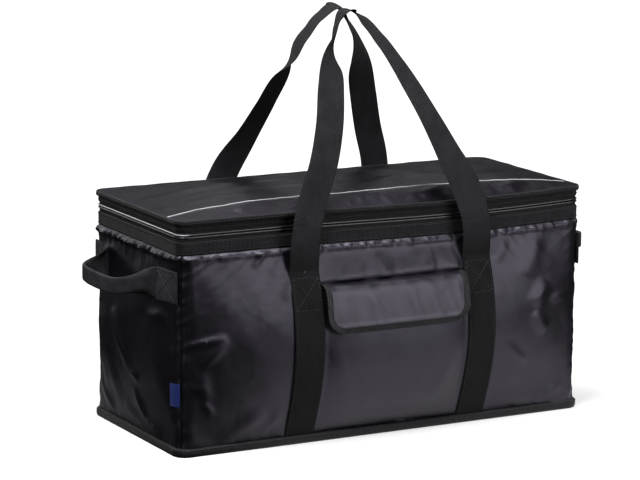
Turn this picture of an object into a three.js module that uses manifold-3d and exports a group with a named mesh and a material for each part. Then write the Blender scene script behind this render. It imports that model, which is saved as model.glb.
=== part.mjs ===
// A large soft cooler bag: a foam-lined fabric box with a zipped lid, two long webbing
// handles, a grab handle on each end, and a front pocket with a flap.
// Millimetres, +Z up. The origin is the centre of the underside. The front faces -Y.
import * as THREE from "three";
import { mergeVertices } from "three/addons/utils/BufferGeometryUtils.js";
import Module from "manifold-3d";

const wasm = await Module();
wasm.setup();

// Driving sizes of the box
const bodyLength = 650;
const bodyDepth = 280;
const seamHeight = 13;
const zipHeight = 313;
const frontSag = 12;
const cornerRadius = 14;
const frontBelly = 36;
const backBelly = 24;
const endBelly = 15;

// Thicknesses and clearances
const gap = 0.3;
const fabric = 1.2;
const foam = 6;
const liner = 0.8;
const board = 4;
const webbing = 2;
const hingePlay = 0.15;

// The band, the zip and the lid's edge, measured from the zip's centre line
const bandDrop = 27;
const bandHeight = 19;
const bandThickness = 1.4;
const tapeWidth = 11;
const tapeThickness = 0.9;
const chainGap = 0.6;
const coilHeight = 2.6;
const coilThickness = 1.6;
const skirtStart = 7;
const skirtTop = 20;
const lidEdgeHeight = 5.5;
const lidEdgeThickness = 3;
const lidEdgeDrop = 4;

// The lid's top
const crestRise = 13;
const crestSetback = 42;
const lidDome = 3;
const crestShares = [1 / 3, 2 / 3, 1];
const lidTurnShare = 1 / 3;
const pipingWidth = 2.4;

// The base binding
const bindingWidth = 6.5;
const bindingChamfer = 2;

// The long handles
const webWidth = 46;
const strapSpacing = 280;
const stitchTop = 247;
const foldHeight = 346;
const apexHeight = 597;
const apexSetback = 24.5;
const frontSkew = -3;
const backSkew = 20;

// The grab handles on the ends
const grabHeight = 240;
const grabStart = 8;
const tabLift = 1.1;
const grabStitch = 52;
const grabReach = 60;
const grabPivotReach = 21;
const grabBendReach = 47;
const grabRise = 16;
const grabGripLength = 116;
const grabGripWidth = 24;
const grabGripThickness = 5;
const grabDroop = 7;
const grabDroopShares = [0, 0.4, 0.75, 0.9];

// The pocket and its flap
const pocketTop = 220;
const pocketRoom = 10;
const pocketRoomHalf = 112;
const pocketSwell = 60;
const pocketTurnShares = [0.86, 0.95, 1];
const flapTop = 232;
const flapBottom = 163;
const flapHalf = 115;
const flapCorner = 24;
const flapShoulder = 14;
const flapTrim = 8;
const flapPlaceShares = [-1, -0.5, 0, 0.5, 1];
const flapRowShares = [0, 0.03, 0.12, 0.35, 0.6, 0.78, 0.85, 0.92, 1];
const trimThickness = 0.8;
const tapePatchLength = 150;
const tapePatchHeight = 20;
const tapePatchThickness = 0.8;
const tapePatchRise = 14;

// The side label
const labelHeight = 33;
const labelWidth = 18;
const labelBottom = 72;
const labelThickness = 1;
const labelLean = 25;
const rightAngle = 90;

// The sliders and pulls
const sliderLength = 13;
const sliderHeight = 9.6;
const plateThickness = 1.5;
const postLength = 3;
const postThickness = 0.6;
const sliderSpacing = 15;
const sliderCentre = 10;
const bailWidth = 3;
const bailThickness = 1.2;
const bailReach = 2.2;
const bailHalf = 4.5;
const pullLength = 30;
const pullWidth = 7;
const pullThickness = 1.4;
const pullSlot = 6.6;
const pullHole = 3;

// How finely the curved pieces are divided
const cornerSteps = 2;
const flapCornerSteps = 4;
const rowSteps = 6;
const lidSteps = 4;
const legSteps = 4;
const loopSteps = 12;

const halfLength = bodyLength / 2;
const halfDepth = bodyDepth / 2;
const straightX = halfLength - cornerRadius;
const straightY = halfDepth - cornerRadius;
const panelTopDrop = chainGap + tapeWidth + gap;

// Where the long walls are divided: at the straps' edges and evenly between.
const strapEdges = [strapSpacing - webWidth, strapSpacing, strapSpacing + webWidth];
const innerShares = [0.55];
const outerShares = [0.45, 0.8];
const rightPlaces = [
  ...innerShares.map((share) => (share * strapEdges[0]) / 2),
  ...strapEdges.map((edge) => edge / 2),
  ...outerShares.map((share) => strapEdges[2] / 2 + share * (straightX - strapEdges[2] / 2)),
];
const wallPlaces = [...rightPlaces].reverse().map((x) => -x).concat(0, rightPlaces);

// Where the end walls are divided: at the grab handles' stitching and evenly between.
const grabLeave = halfDepth - grabStart - grabStitch;
const tabShares = [0.5];
const tabPlaces = tabShares.map((share) => grabLeave + share * (straightY - gap - grabLeave));

function endPlacesTo(edge) {
  const right = [...innerShares.map((share) => share * grabLeave), grabLeave, ...tabPlaces, edge];
  return [...[...right].reverse().map((y) => -y), 0, ...right];
}

const materials = {
  shell: [0x2a2a2d, 0.55, 0],
  webbing: [0x1c1c1e, 0.85, 0],
  foam: [0xd9dcdd, 0.9, 0],
  lining: [0xb9bec2, 0.35, 0.4],
  board: [0x3a3b3d, 0.8, 0],
  zip: [0x141416, 0.5, 0],
  metal: [0x2b2c2e, 0.4, 1],
  piping: [0xd3d5d6, 0.4, 0],
  label: [0x1d3d8a, 0.7, 0],
};

const cooler = new THREE.Group();

// Adds one named piece.
function add(name, geometry, material) {
  const [color, roughness, metalness] = materials[material];
  const finish = new THREE.MeshStandardMaterial({ color, roughness, metalness });
  const mesh = new THREE.Mesh(geometry, finish);
  mesh.name = name;
  cooler.add(mesh);
  return mesh;
}

// Joins rows of sections into one closed body. Each section holds a front and a back list
// of points of the same length. A closed loft runs round into its first section.
function loft(sections, closed = false) {
  const n = sections[0].front.length;
  const points = sections.flatMap(({ front, back }) => [...front, ...back]);
  const position = new Float32Array(points.flatMap((p) => [p.x, p.y, p.z]));
  const index = [];
  const at = (row, side, i) => row * 2 * n + side * n + i;
  const quad = (a, b, c, d) => index.push(a, b, c, a, c, d);
  const rows = sections.length;
  for (let r = 0; r < (closed ? rows : rows - 1); r += 1) {
    const s = (r + 1) % rows;
    for (let i = 0; i < n - 1; i += 1) {
      quad(at(r, 0, i), at(s, 0, i), at(s, 0, i + 1), at(r, 0, i + 1));
      quad(at(r, 1, i), at(r, 1, i + 1), at(s, 1, i + 1), at(s, 1, i));
    }
    quad(at(r, 0, n - 1), at(s, 0, n - 1), at(s, 1, n - 1), at(r, 1, n - 1));
    quad(at(r, 1, 0), at(s, 1, 0), at(s, 0, 0), at(r, 0, 0));
  }
  if (!closed) {
    for (let i = 0; i < n - 1; i += 1) {
      const e = rows - 1;
      quad(at(0, 0, i), at(0, 0, i + 1), at(0, 1, i + 1), at(0, 1, i));
      quad(at(e, 0, i + 1), at(e, 0, i), at(e, 1, i), at(e, 1, i + 1));
    }
  }
  return outward(position, index);
}

// Turns a closed surface so that its faces point out.
function outward(position, index) {
  let volume = 0;
  const a = new THREE.Vector3();
  const b = new THREE.Vector3();
  const c = new THREE.Vector3();
  for (let i = 0; i < index.length; i += 3) {
    a.fromArray(position, index[i] * 3);
    b.fromArray(position, index[i + 1] * 3);
    c.fromArray(position, index[i + 2] * 3);
    volume += a.dot(b.cross(c));
  }
  const turned = volume < 0 ? [...index].reverse() : index;
  const geometry = new THREE.BufferGeometry();
  geometry.setAttribute("position", new THREE.BufferAttribute(position, 3));
  geometry.setIndex(turned);
  return geometry;
}

// A thin piece between two surfaces, each a function of u and v from 0 to 1.
function sheet(front, back, uSteps, vSteps) {
  const sections = [];
  for (let i = 0; i <= uSteps; i += 1) {
    const row = { front: [], back: [] };
    for (let j = 0; j <= vSteps; j += 1) {
      row.front.push(front(i / uSteps, j / vSteps));
      row.back.push(back(i / uSteps, j / vSteps));
    }
    sections.push(row);
  }
  return loft(sections);
}

function vec(x, y, z) {
  return new THREE.Vector3(x, y, z);
}

// A box between two corners.
function block(low, high) {
  const size = high.clone().sub(low);
  const box = new THREE.BoxGeometry(size.x, size.y, size.z);
  const middle = low.clone().add(high).multiplyScalar(0.5);
  return box.translate(middle.x, middle.y, middle.z);
}

function toSolid(geometry) {
  const bare = geometry.clone();
  bare.deleteAttribute("normal");
  bare.deleteAttribute("uv");
  const merged = mergeVertices(bare);
  return new wasm.Manifold(
    new wasm.Mesh({
      numProp: 3,
      vertProperties: merged.attributes.position.array,
      triVerts: new Uint32Array(merged.index.array),
    }),
  );
}

function toGeometry(solid) {
  const mesh = solid.getMesh();
  const count = mesh.numVert;
  const position = new Float32Array(count * 3);
  for (let i = 0; i < count; i += 1) {
    position.set(mesh.vertProperties.subarray(i * mesh.numProp, i * mesh.numProp + 3), i * 3);
  }
  const geometry = new THREE.BufferGeometry();
  geometry.setAttribute("position", new THREE.BufferAttribute(position, 3));
  geometry.setIndex(new THREE.BufferAttribute(new Uint32Array(mesh.triVerts), 1));
  return geometry;
}

function join(...geometries) {
  return toGeometry(geometries.map(toSolid).reduce((a, b) => a.add(b)));
}

function cut(geometry, ...tools) {
  return toGeometry(tools.map(toSolid).reduce((a, b) => a.subtract(b), toSolid(geometry)));
}

// Height of the zip's centre line: level, with a sag along the front.
function rimHeight(x, y) {
  const onFront = y < -straightY && Math.abs(x) < straightX;
  return zipHeight - (onFront ? frontSag * (1 - (x / straightX) ** 2) : 0);
}

// The rows of a wall: from the base seam to the band, then to the wall's top edge.
const wallRows = Array.from({ length: rowSteps + 1 }, (_, k) => k / rowSteps);

function rowHeight(rim, share) {
  return seamHeight + (rim - bandDrop - seamHeight) * share;
}

// How far a wall swells outwards: none at its edges, most at mid height.
function swell(most, along, height, rim) {
  const share = THREE.MathUtils.clamp(
    (height - seamHeight) / (rim - bandDrop - seamHeight),
    0,
    1,
  );
  return most * (1 - Math.min(1, Math.abs(along)) ** 4) * Math.sin(Math.PI * share);
}

function frontY(x, z, out) {
  const rim = rimHeight(x, -halfDepth);
  return -halfDepth - swell(frontBelly, x / straightX, z, rim) - out;
}

function backY(x, z, out) {
  return halfDepth + swell(backBelly, x / straightX, z, zipHeight) + out;
}

// Stations round the rounded rectangle of the rim. The open path leaves out the back.
function rimStations(open) {
  const stations = [];
  const side = (nx, ny, places) => {
    for (const place of places) {
      const x = nx * halfLength - ny * place;
      const y = ny * halfDepth + nx * place;
      stations.push({ x, y, nx, ny });
    }
  };
  const endPlaces = [-straightY, straightY];
  const frontPlaces = [-straightX, ...wallPlaces, straightX];
  side(0, 1, open ? [straightX] : [-straightX, straightX]);
  stations.push(...cornerStations(-1, 1));
  side(-1, 0, endPlaces);
  stations.push(...cornerStations(-1, -1));
  side(0, -1, frontPlaces);
  stations.push(...cornerStations(1, -1));
  side(1, 0, endPlaces);
  stations.push(...cornerStations(1, 1));
  if (open) side(0, 1, [-straightX]);
  return stations;
}

function evenly(from, to, steps) {
  return Array.from({ length: steps + 1 }, (_, i) => from + ((to - from) * i) / steps);
}

// Stations on one rounded corner, anticlockwise, without its two ends.
function cornerStations(sx, sy) {
  const middle = Math.atan2(sy, sx);
  const stations = [];
  for (let i = 1; i < cornerSteps; i += 1) {
    const angle = middle + (Math.PI / 2) * (i / cornerSteps - 1 / 2);
    const nx = Math.cos(angle);
    const ny = Math.sin(angle);
    const x = sx * straightX + cornerRadius * nx;
    const y = sy * straightY + cornerRadius * ny;
    stations.push({ x, y, nx, ny });
  }
  return stations;
}

// A band round the rim between two offsets and two heights above the zip's centre line.
function rimBand(inner, outer, low, high, open) {
  const sections = rimStations(open).map(({ x, y, nx, ny }) => {
    const z = rimHeight(x, y);
    const point = (out, rise) => vec(x + nx * out, y + ny * out, z + rise);
    return {
      front: [point(outer, low), point(outer, high)],
      back: [point(inner, low), point(inner, high)],
    };
  });
  return loft(sections, !open);
}

// One wall of a layer. A station is given with the most that the wall swells there.
function wall(stations, depth, thickness, bottom, topDrop) {
  const sections = stations.map(({ x, y, nx, ny, most, along }) => {
    const rim = rimHeight(x, y);
    const rows = wallRows.map((share) => rowHeight(rim, share));
    const heights = [bottom, ...rows.filter((z) => z > bottom + gap), rim - topDrop];
    const row = (inset) =>
      heights.map((z) => {
        const out = swell(most, along, z, rim) - inset;
        return vec(x + nx * out, y + ny * out, z);
      });
    return { front: row(depth), back: row(depth + thickness) };
  });
  return loft(sections);
}

// Four walls of one layer, standing at a depth inside the outer surface. The end walls
// stand between the long walls, which turn the corners where they are cloth. Foam ends
// short of the corners, as flat sheets do.
function walls(names, material, depth, thickness, bottom, topDrop, turned) {
  const long = (sign, most) => {
    const corner = (sx) => {
      const stations = cornerStations(sx, sign);
      const end = { x: sx * halfLength, y: sign * straightY, nx: sx, ny: 0 };
      const arc = sx * sign > 0 ? [end, ...stations] : [...stations, end];
      return arc.map((station) => ({ ...station, most: 0, along: 1 }));
    };
    const places = [-straightX, ...wallPlaces, straightX].map((x) => {
      return { x: -sign * x, y: sign * halfDepth, nx: 0, ny: sign, most, along: x / straightX };
    });
    return turned ? [...corner(sign), ...places, ...corner(-sign)] : places;
  };
  const short = (sign) =>
    endPlacesTo(straightY - gap).map((y) => {
      const along = y / (straightY - gap);
      return { x: sign * halfLength, y: sign * y, nx: sign, ny: 0, most: endBelly, along };
    });
  const stations = [long(-1, frontBelly), long(1, backBelly), short(-1), short(1)];
  names.forEach((name, i) => {
    add(name, wall(stations[i], depth, thickness, bottom, topDrop), material);
  });
}

function layer(part) {
  return ["front", "back", "left", "right"].map((side) => `${side}_${part}`);
}

// The rounded outline of the box, set in from the outer walls.
function outline(inset) {
  const shape = new THREE.Shape();
  const stations = rimStations(false);
  shape.setFromPoints(
    stations.map(({ x, y, nx, ny }) => new THREE.Vector2(x - nx * inset, y - ny * inset)),
  );
  return shape;
}

// A flat layer of the base.
function floorLayer(name, material, inset, bottom, thickness) {
  const options = { depth: thickness, bevelEnabled: false, curveSegments: 1 };
  const slab = new THREE.ExtrudeGeometry(outline(inset), options);
  add(name, toGeometry(toSolid(slab.translate(0, 0, bottom))), material);
}

const foamDepth = fabric + gap;
const linerDepth = foamDepth + foam + gap;
const boardBottom = fabric + gap;
const foamBottom = boardBottom + board + gap;
const linerBottom = foamBottom + foam + gap;

function buildBox() {
  floorLayer("base_panel", "shell", foamDepth, 0, fabric);
  floorLayer("base_board", "board", foamDepth, boardBottom, board);
  floorLayer("base_foam", "foam", foamDepth, foamBottom, foam);
  floorLayer("base_liner", "lining", linerDepth, linerBottom, liner);
  walls(layer("panel"), "shell", 0, fabric, gap, panelTopDrop, true);
  walls(layer("foam"), "foam", foamDepth, foam, linerBottom, panelTopDrop, false);
  const wallLinerBottom = linerBottom + liner + gap;
  walls(layer("liner"), "lining", linerDepth, liner, wallLinerBottom, panelTopDrop, true);
}

// The bound seam round the foot of the bag, with its edges chamfered.
function buildBaseBinding() {
  const chamfered = bindingWidth - bindingChamfer;
  const heights = [0, bindingChamfer, seamHeight - bindingChamfer, seamHeight];
  const reaches = [chamfered, bindingWidth, bindingWidth, chamfered];
  const sections = rimStations(false).map(({ x, y, nx, ny }) => {
    const point = (out, z) => vec(x + nx * out, y + ny * out, z);
    return {
      front: heights.map((z, i) => point(reaches[i], z)),
      back: heights.map((z) => point(gap, z)),
    };
  });
  add("base_binding", loft(sections, true), "webbing");
}

// The band over the walls' top edge, the lower half of the zip, and the rear hinge.
function buildMouth() {
  const bandLow = -bandDrop;
  const band = rimBand(gap, gap + bandThickness, bandLow, bandLow + bandHeight, false);
  add("mouth_band", band, "webbing");
  const tapeOuter = -gap;
  const tapeInner = tapeOuter - tapeThickness;
  const tapeLow = -chainGap - tapeWidth;
  add("lower_zip_tape", rimBand(tapeInner, tapeOuter, tapeLow, -chainGap, true), "zip");
  const coilLow = -chainGap - coilHeight;
  add("lower_zip_coil", rimBand(0, coilThickness, coilLow, -chainGap, true), "zip");
  const hingeLow = vec(gap - straightX, halfDepth + tapeInner, zipHeight + tapeLow);
  const hingeHigh = vec(straightX - gap, halfDepth + tapeOuter, zipHeight - hingePlay);
  add("hinge_tape", block(hingeLow, hingeHigh), "webbing");
}

// Height of the lid's top: up from the front edge to a crest, then gently to the back.
function lidTopHeight(x, y) {
  const edge = skirtTop + gap + fabric;
  const share = THREE.MathUtils.clamp((y + halfDepth) / bodyDepth, 0, 1);
  const along = Math.min(1, Math.abs(x) / halfLength);
  const across = 1 - along ** 4;
  const front = rimHeight(x, -halfDepth) + edge;
  const back = zipHeight + edge;
  const crest = back + crestRise * across;
  const crestShare = crestSetback / bodyDepth;
  if (share < crestShare) {
    return front + (crest - front) * Math.sin(((share / crestShare) * Math.PI) / 2);
  }
  const rest = (share - crestShare) / (1 - crestShare);
  return crest + (back - crest) * rest ** 1.5 + lidDome * across * Math.sin(Math.PI * rest);
}

// Depths at which the lid is divided, and half its length at a depth, inside its edge.
function lidDepths(inset, from, to) {
  const radius = cornerRadius - inset;
  const turns = evenly(0, Math.PI / 2, cornerSteps).map((a) => straightY + radius * Math.sin(a));
  const middle = evenly(-straightY, straightY, lidSteps).slice(1, -1);
  const crest = crestShares.map((share) => share * crestSetback - halfDepth);
  const all = [...turns.map((y) => -y), ...crest, ...middle, ...turns];
  const inside = all.filter((y) => y > from + gap && y < to - gap).sort((a, b) => a - b);
  return [from, ...inside, to];
}

function lidReach(y, inset) {
  const radius = cornerRadius - inset;
  const over = Math.max(0, Math.abs(y) - straightY);
  return straightX + Math.sqrt(Math.max(0, radius ** 2 - over ** 2));
}

// Part of the lid between two depths, one layer thick.
function lidSheet(inset, from, to, drop, thickness) {
  const sections = lidDepths(inset, from, to).map((y) => {
    const reach = lidReach(y, inset);
    const turn = straightX - lidTurnShare * cornerRadius;
    const row = (down) =>
      [-reach, -turn, ...wallPlaces, turn, reach].map((x) =>
        vec(x, y, lidTopHeight(x, y) - down),
      );
    return { front: row(drop), back: row(drop + thickness) };
  });
  return loft(sections);
}

function buildLid() {
  const crestY = -halfDepth + crestSetback;
  const seam = pipingWidth / 2 + gap;
  const rim = halfDepth + fabric;
  add("lid_front_strip", lidSheet(-fabric, -rim, crestY - seam, 0, fabric), "shell");
  add("lid_top_panel", lidSheet(-fabric, crestY + seam, rim, 0, fabric), "shell");
  const inset = 2 * fabric + gap;
  const under = fabric + 2 * gap;
  const rear = halfDepth - inset;
  add("lid_foam", lidSheet(inset, -rear, rear, under, foam), "foam");
  add("lid_liner", lidSheet(inset, -rear, rear, under + foam + gap, liner), "lining");

  const half = pipingWidth / 2;
  const pipe = [-halfLength, ...wallPlaces, halfLength].map((x) => {
    const z = lidTopHeight(x, crestY);
    const row = (y) => [vec(x, y, z - fabric), vec(x, y, z + half)];
    return { front: row(crestY - half), back: row(crestY + half) };
  });
  add("lid_piping", loft(pipe), "piping");

  add("lid_skirt", rimBand(0, fabric, skirtStart, skirtTop, false), "shell");
  const edgeInner = fabric + gap;
  const edgeLow = skirtTop - lidEdgeDrop;
  const edgeHigh = edgeLow + lidEdgeHeight + gap;
  const edgeOuter = edgeInner + lidEdgeThickness;
  add("lid_binding", rimBand(edgeInner, edgeOuter, edgeLow, edgeHigh, false), "webbing");

  const tapeOuter = -gap;
  const tapeHigh = chainGap + tapeWidth;
  add("upper_zip_tape", rimBand(tapeOuter - tapeThickness, tapeOuter, chainGap, tapeHigh, true), "zip");
  add("upper_zip_coil", rimBand(0, coilThickness, chainGap, chainGap + coilHeight, true), "zip");
}

// A piece lying on the front or back wall, standing off it by a function of x and z.
function onWall(wallY, places, bottom, top, standOff, thickness) {
  const sections = places.map((x) => {
    const rim = wallY === frontY ? rimHeight(x, -halfDepth) : zipHeight;
    const rows = wallRows.map((share) => rowHeight(rim, share));
    const all = [...rows, pocketTop].sort((a, b) => a - b);
    const inside = all.filter((z) => z > bottom + gap && z < top - gap);
    const row = (out) =>
      [bottom, ...inside, top].map((z) => vec(x, wallY(x, z, standOff(x, z) + out), z));
    return { front: row(thickness), back: row(0) };
  });
  return loft(sections);
}

const strapLift = { front: fabric + 2 * gap, back: gap };
const wallFaces = { front: frontY, back: backY };

// The sewn straps up the front and back walls.
function buildStraps() {
  const bottom = seamHeight + gap;
  const top = stitchTop - hingePlay;
  for (const face of ["front", "back"]) {
    for (const [side, sign] of [["left", -1], ["right", 1]]) {
      const places = strapEdges.map((edge) => (sign * edge) / 2);
      const lift = () => strapLift[face];
      const strap = onWall(wallFaces[face], places, bottom, top, lift, webbing);
      add(`${face}_strap_${side}`, strap, "webbing");
    }
  }
}

// The handles' line seen from the end, as shares of the rise from stitching to apex, and
// of the way in from the strap's foot to the apex.
const riseShares = [0, 0.14, 0.283, 0.43, 0.57, 0.71, 0.79, 0.885, 0.96, 1];
const inwardShares = {
  front: [0, -0.03, 0, 0.08, 0.225, 0.455, 0.6, 0.8, 0.94, 1],
  back: [0, -0.03, 0, 0.12, 0.29, 0.5, 0.63, 0.81, 0.94, 1],
};
const spreadShares = [1, 0.99, 0.9, 0.73, 0.59, 0.46, 0.38, 0.27, 0.14, 0];
const foldShare = (foldHeight - stitchTop) / (apexHeight - stitchTop);

// The ribbon's roll in degrees at the same heights, going up one leg and down the other.
const frontRollUp = [0, 0, 0, 0, 0, 2, 12, 58, 66, 90];
const frontRollDown = [180, 180, 180, 163, 152, 146, 140, 132, 118, 90];
const backRollUp = [0, 0, 0, 20, 27, 37, 74, 76, 80, 90];
const backRollDown = [180, 180, 180, 180, 180, 172, 148, 121, 117, 90];

function sample(values, share) {
  const last = riseShares.length - 1;
  let i = 0;
  while (i < last - 1 && riseShares[i + 1] < share) i += 1;
  const t = (share - riseShares[i]) / (riseShares[i + 1] - riseShares[i]);
  return values[i] + (values[i + 1] - values[i]) * t;
}

// A point of a handle's centre line. The leg is -1 on the left and 1 on the right.
function handlePoint(face, leg, share) {
  const sign = face === "front" ? -1 : 1;
  const footY = Math.abs(handleFootY(face)) + webbing / 2;
  const run = footY - apexSetback;
  const y = sign * (footY - run * sample(inwardShares[face], share));
  const skew = face === "back" ? backSkew : frontSkew;
  const spread = (leg * strapSpacing * sample(spreadShares, share)) / 2;
  const x = spread + skew * Math.sin(Math.PI * share);
  return vec(x, y, stitchTop + (apexHeight - stitchTop) * share);
}

function handleFootY(face) {
  return wallFaces[face](strapSpacing / 2, stitchTop, strapLift[face]);
}

// Sections of a ribbon along points, with a width, a thickness and a roll at each.
function ribbon(stations) {
  return stations.map(({ point, along, roll, width, thickness }) => {
    const t = along.clone().normalize();
    const normal = vec(0, 1, 0).addScaledVector(t, -t.y).normalize();
    const level = normal.clone().cross(t);
    const turn = THREE.MathUtils.degToRad(roll);
    const across = level.clone().multiplyScalar(Math.cos(turn));
    across.addScaledVector(normal, Math.sin(turn));
    const face = across.clone().cross(t);
    const corner = (w, h) =>
      point.clone().addScaledVector(across, (w * width) / 2).addScaledVector(face, (h * thickness) / 2);
    return { front: [corner(-1, 1), corner(1, 1)], back: [corner(-1, -1), corner(1, -1)] };
  });
}

// The free legs, from the stitching up to the fold, as the lid's edge bends them.
function buildLegs(face) {
  for (const [side, leg] of [["left", -1], ["right", 1]]) {
    const sections = [];
    const sign = face === "front" ? -1 : 1;
    for (let i = 0; i <= legSteps; i += 1) {
      const share = (foldShare * i) / legSteps;
      const p = handlePoint(face, leg, share);
      const z = THREE.MathUtils.clamp(p.z, stitchTop + hingePlay, foldHeight - hingePlay);
      const row = (out) => [-1, 1].map((w) => vec(p.x + (w * webWidth) / 2, p.y + sign * out, z));
      sections.push({ front: row(webbing / 2), back: row(-webbing / 2) });
    }
    add(`${face}_leg_${side}`, loft(sections), "webbing");
  }
}

// The loop above the fold: up from one leg, over the apex and down to the other.
function buildLoop(face) {
  const up = face === "front" ? frontRollUp : backRollUp;
  const down = face === "front" ? frontRollDown : backRollDown;
  const path = [];
  const sign = face === "front" ? -1 : 1;
  const place = (leg, i, rolls) => {
    const ease = Math.sin(((Math.PI / 2) * i) / loopSteps);
    const share = foldShare + (1 - foldShare) * ease;
    path.push({ point: handlePoint(face, leg, share), roll: sample(rolls, share) });
  };
  for (let i = 0; i <= loopSteps; i += 1) place(-1, i, up);
  for (let i = loopSteps - 1; i >= 0; i -= 1) place(1, i, down);
  const stations = path.map((station, i) => {
    const before = path[Math.max(0, i - 1)].point;
    const after = path[Math.min(path.length - 1, i + 1)].point;
    const along = after.clone().sub(before);
    return { ...station, along, width: webWidth, thickness: webbing };
  });
  const sections = ribbon(stations);
  const flat = (point, flip) => {
    const row = (out) =>
      [-1, 1].map((w) =>
        vec(point.x + (w * flip * webWidth) / 2, point.y + sign * out, foldHeight + hingePlay),
      );
    return row;
  };
  const first = flat(path[0].point, 1);
  const last = flat(path[path.length - 1].point, 1);
  const outer = webbing / 2;
  const facing = sign < 0 ? 1 : -1;
  sections[0] = { front: first(facing * outer), back: first(-facing * outer) };
  sections[sections.length - 1] = { front: last(-facing * outer), back: last(facing * outer) };
  add(`${face}_loop`, loft(sections), "webbing");
}

// The grab handles: two sewn tabs that leave the wall, and a doubled grip between them.
function buildGrabHandle(side, sign) {
  const pivotY = grabGripLength / 2 + grabRise;
  const crease = (2 * (rowHeight(zipHeight, wallRows[rowSteps - 1]) - grabHeight)) / webWidth;
  const tab = (face) => {
    const sewn = [halfDepth - grabStart, straightY - gap, ...[...tabPlaces].reverse(), grabLeave];
    const rows = [
      ...sewn.map((y) => [y, null, webWidth, webbing]),
      [(grabLeave + pivotY) / 2, grabPivotReach / 2 + webbing, webWidth, webbing],
      [pivotY, grabPivotReach, (webWidth + grabGripWidth) / 2, webbing],
    ];
    const sections = rows.map(([y, out, width, thickness]) => {
      const wallX = (z) => halfLength + swell(endBelly, y / (straightY - gap), z, zipHeight);
      const row = (extra) =>
        [-1, crease, 1].map((w) => {
          const z = grabHeight + (w * width) / 2;
          const x = (out === null ? wallX(z) + tabLift : halfLength + out) + extra;
          return vec(sign * x, face * y, z);
        });
      return { front: row(thickness), back: row(0) };
    });
    return loft(face === sign ? sections.reverse() : sections);
  };
  add(`${side}_tab_front`, tab(-1), "webbing");
  add(`${side}_tab_rear`, tab(1), "webbing");

  const middle = grabPivotReach + webbing / 2;
  const rows = [
    [pivotY - gap, middle, (webWidth + grabGripWidth) / 2, webbing],
    [(pivotY + grabGripLength / 2) / 2, grabBendReach, grabGripWidth, grabGripThickness],
    [grabGripLength / 2, grabReach - webbing, grabGripWidth, grabGripThickness],
    [grabGripLength / 3, grabReach, grabGripWidth, grabGripThickness],
  ].map((row, i) => [...row, grabDroopShares[i]]);
  const all = [...rows, ...[...rows].reverse().map(([y, ...rest]) => [-y, ...rest])];
  const sections = all.map(([y, out, width, thickness, droop]) => {
    const z = grabHeight - grabDroop * droop;
    const row = (extra) =>
      [-1, 1].map((w) => vec(sign * (halfLength + out + extra), y, z + (w * width) / 2));
    return { front: row(thickness / 2), back: row(-thickness / 2) };
  });
  add(`${side}_grip`, loft(sections), "webbing");
}

// How far the pocket stands off the front wall, beyond the wall's own swell.
function pocketStandOff(x, z) {
  const across = Math.max(0, 1 - (Math.abs(x) / pocketRoomHalf) ** 4);
  const up = THREE.MathUtils.clamp((z - seamHeight) / pocketSwell, 0, 1);
  return gap + pocketRoom * across * Math.sin((up * Math.PI) / 2);
}

function buildPocket() {
  const edge = strapSpacing / 2;
  const turns = pocketTurnShares.map((share) => share * pocketRoomHalf);
  const right = [...turns, ...rightPlaces.filter((x) => x <= edge)].sort((a, b) => a - b);
  const places = [...[...right].reverse().map((x) => -x), 0, ...right];
  const bottom = seamHeight + gap;
  const panel = onWall(frontY, places, bottom, pocketTop, pocketStandOff, fabric);
  add("pocket_panel", panel, "shell");

  const tapeLow = flapBottom + tapePatchRise;
  const tapeHigh = tapeLow + tapePatchHeight;
  const half = tapePatchLength / 2;
  const tapePlaces = [-half, ...places.filter((x) => Math.abs(x) < half - gap), half];
  const off = (lift) => (x, z) => pocketStandOff(x, z) + fabric + lift;
  const patch = (lift) =>
    onWall(frontY, tapePlaces, tapeLow, tapeHigh, off(lift), tapePatchThickness);
  add("pocket_loop_tape", patch(gap), "webbing");
  add("flap_hook_tape", patch(2 * gap + tapePatchThickness), "webbing");
}

// The flap's inner face: against the wall at its seam, then out over the pocket's mouth.
const flapLift = pocketRoom + fabric + 2 * tapePatchThickness + 4 * gap;
function flapOut(z) {
  const share = THREE.MathUtils.clamp((flapTop - z) / flapShoulder, 0, 1);
  return gap + flapLift * Math.sin((share * Math.PI) / 2);
}

// Half of the flap's width at a height, with round lower corners.
function flapReach(z, inset) {
  const radius = flapCorner - inset;
  const low = flapBottom + inset;
  const up = Math.min(radius, Math.max(0, z - low));
  return flapHalf - inset - radius + Math.sqrt(Math.max(0, radius ** 2 - (radius - up) ** 2));
}

function buildFlap() {
  const height = flapTop - flapBottom;
  const rows = flapRowShares.map((share) => flapBottom + height * share);
  const sections = rows.map((z) => {
    const row = (out) =>
      flapPlaceShares.map((w) => {
        const x = w * Math.max(flapReach(z, 0), flapHalf - flapCorner);
        return vec(x, frontY(x, z, flapOut(z) + out), z);
      });
    return { front: row(fabric), back: row(0) };
  });
  add("pocket_flap", loft(sections), "shell");

  const outline = (inset) => {
    const radius = flapCorner - inset;
    const cx = flapHalf - flapCorner;
    const cz = flapBottom + flapCorner;
    const high = [flapTop - gap, ...rows.filter((z) => z > cz && z < flapTop - gap).reverse()];
    const points = high.map((z) => [-flapHalf + inset, z]);
    for (const a of evenly(0, Math.PI / 2, flapCornerSteps)) {
      points.push([-cx - radius * Math.cos(a), cz - radius * Math.sin(a)]);
    }
    points.push([-cx / 2, flapBottom + inset]);
    const mirrored = [...points].reverse().map(([x, z]) => [-x, z]);
    return [...points, [0, flapBottom + inset], ...mirrored];
  };
  const outer = outline(0);
  const inner = outline(flapTrim);
  const trim = outer.map((p, i) => {
    const row = (out) => [p, inner[i]].map(([x, z]) => vec(x, frontY(x, z, flapOut(z) + fabric + gap + out), z));
    return { front: row(trimThickness), back: row(0) };
  });
  add("flap_binding", loft(trim), "webbing");
}

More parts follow.
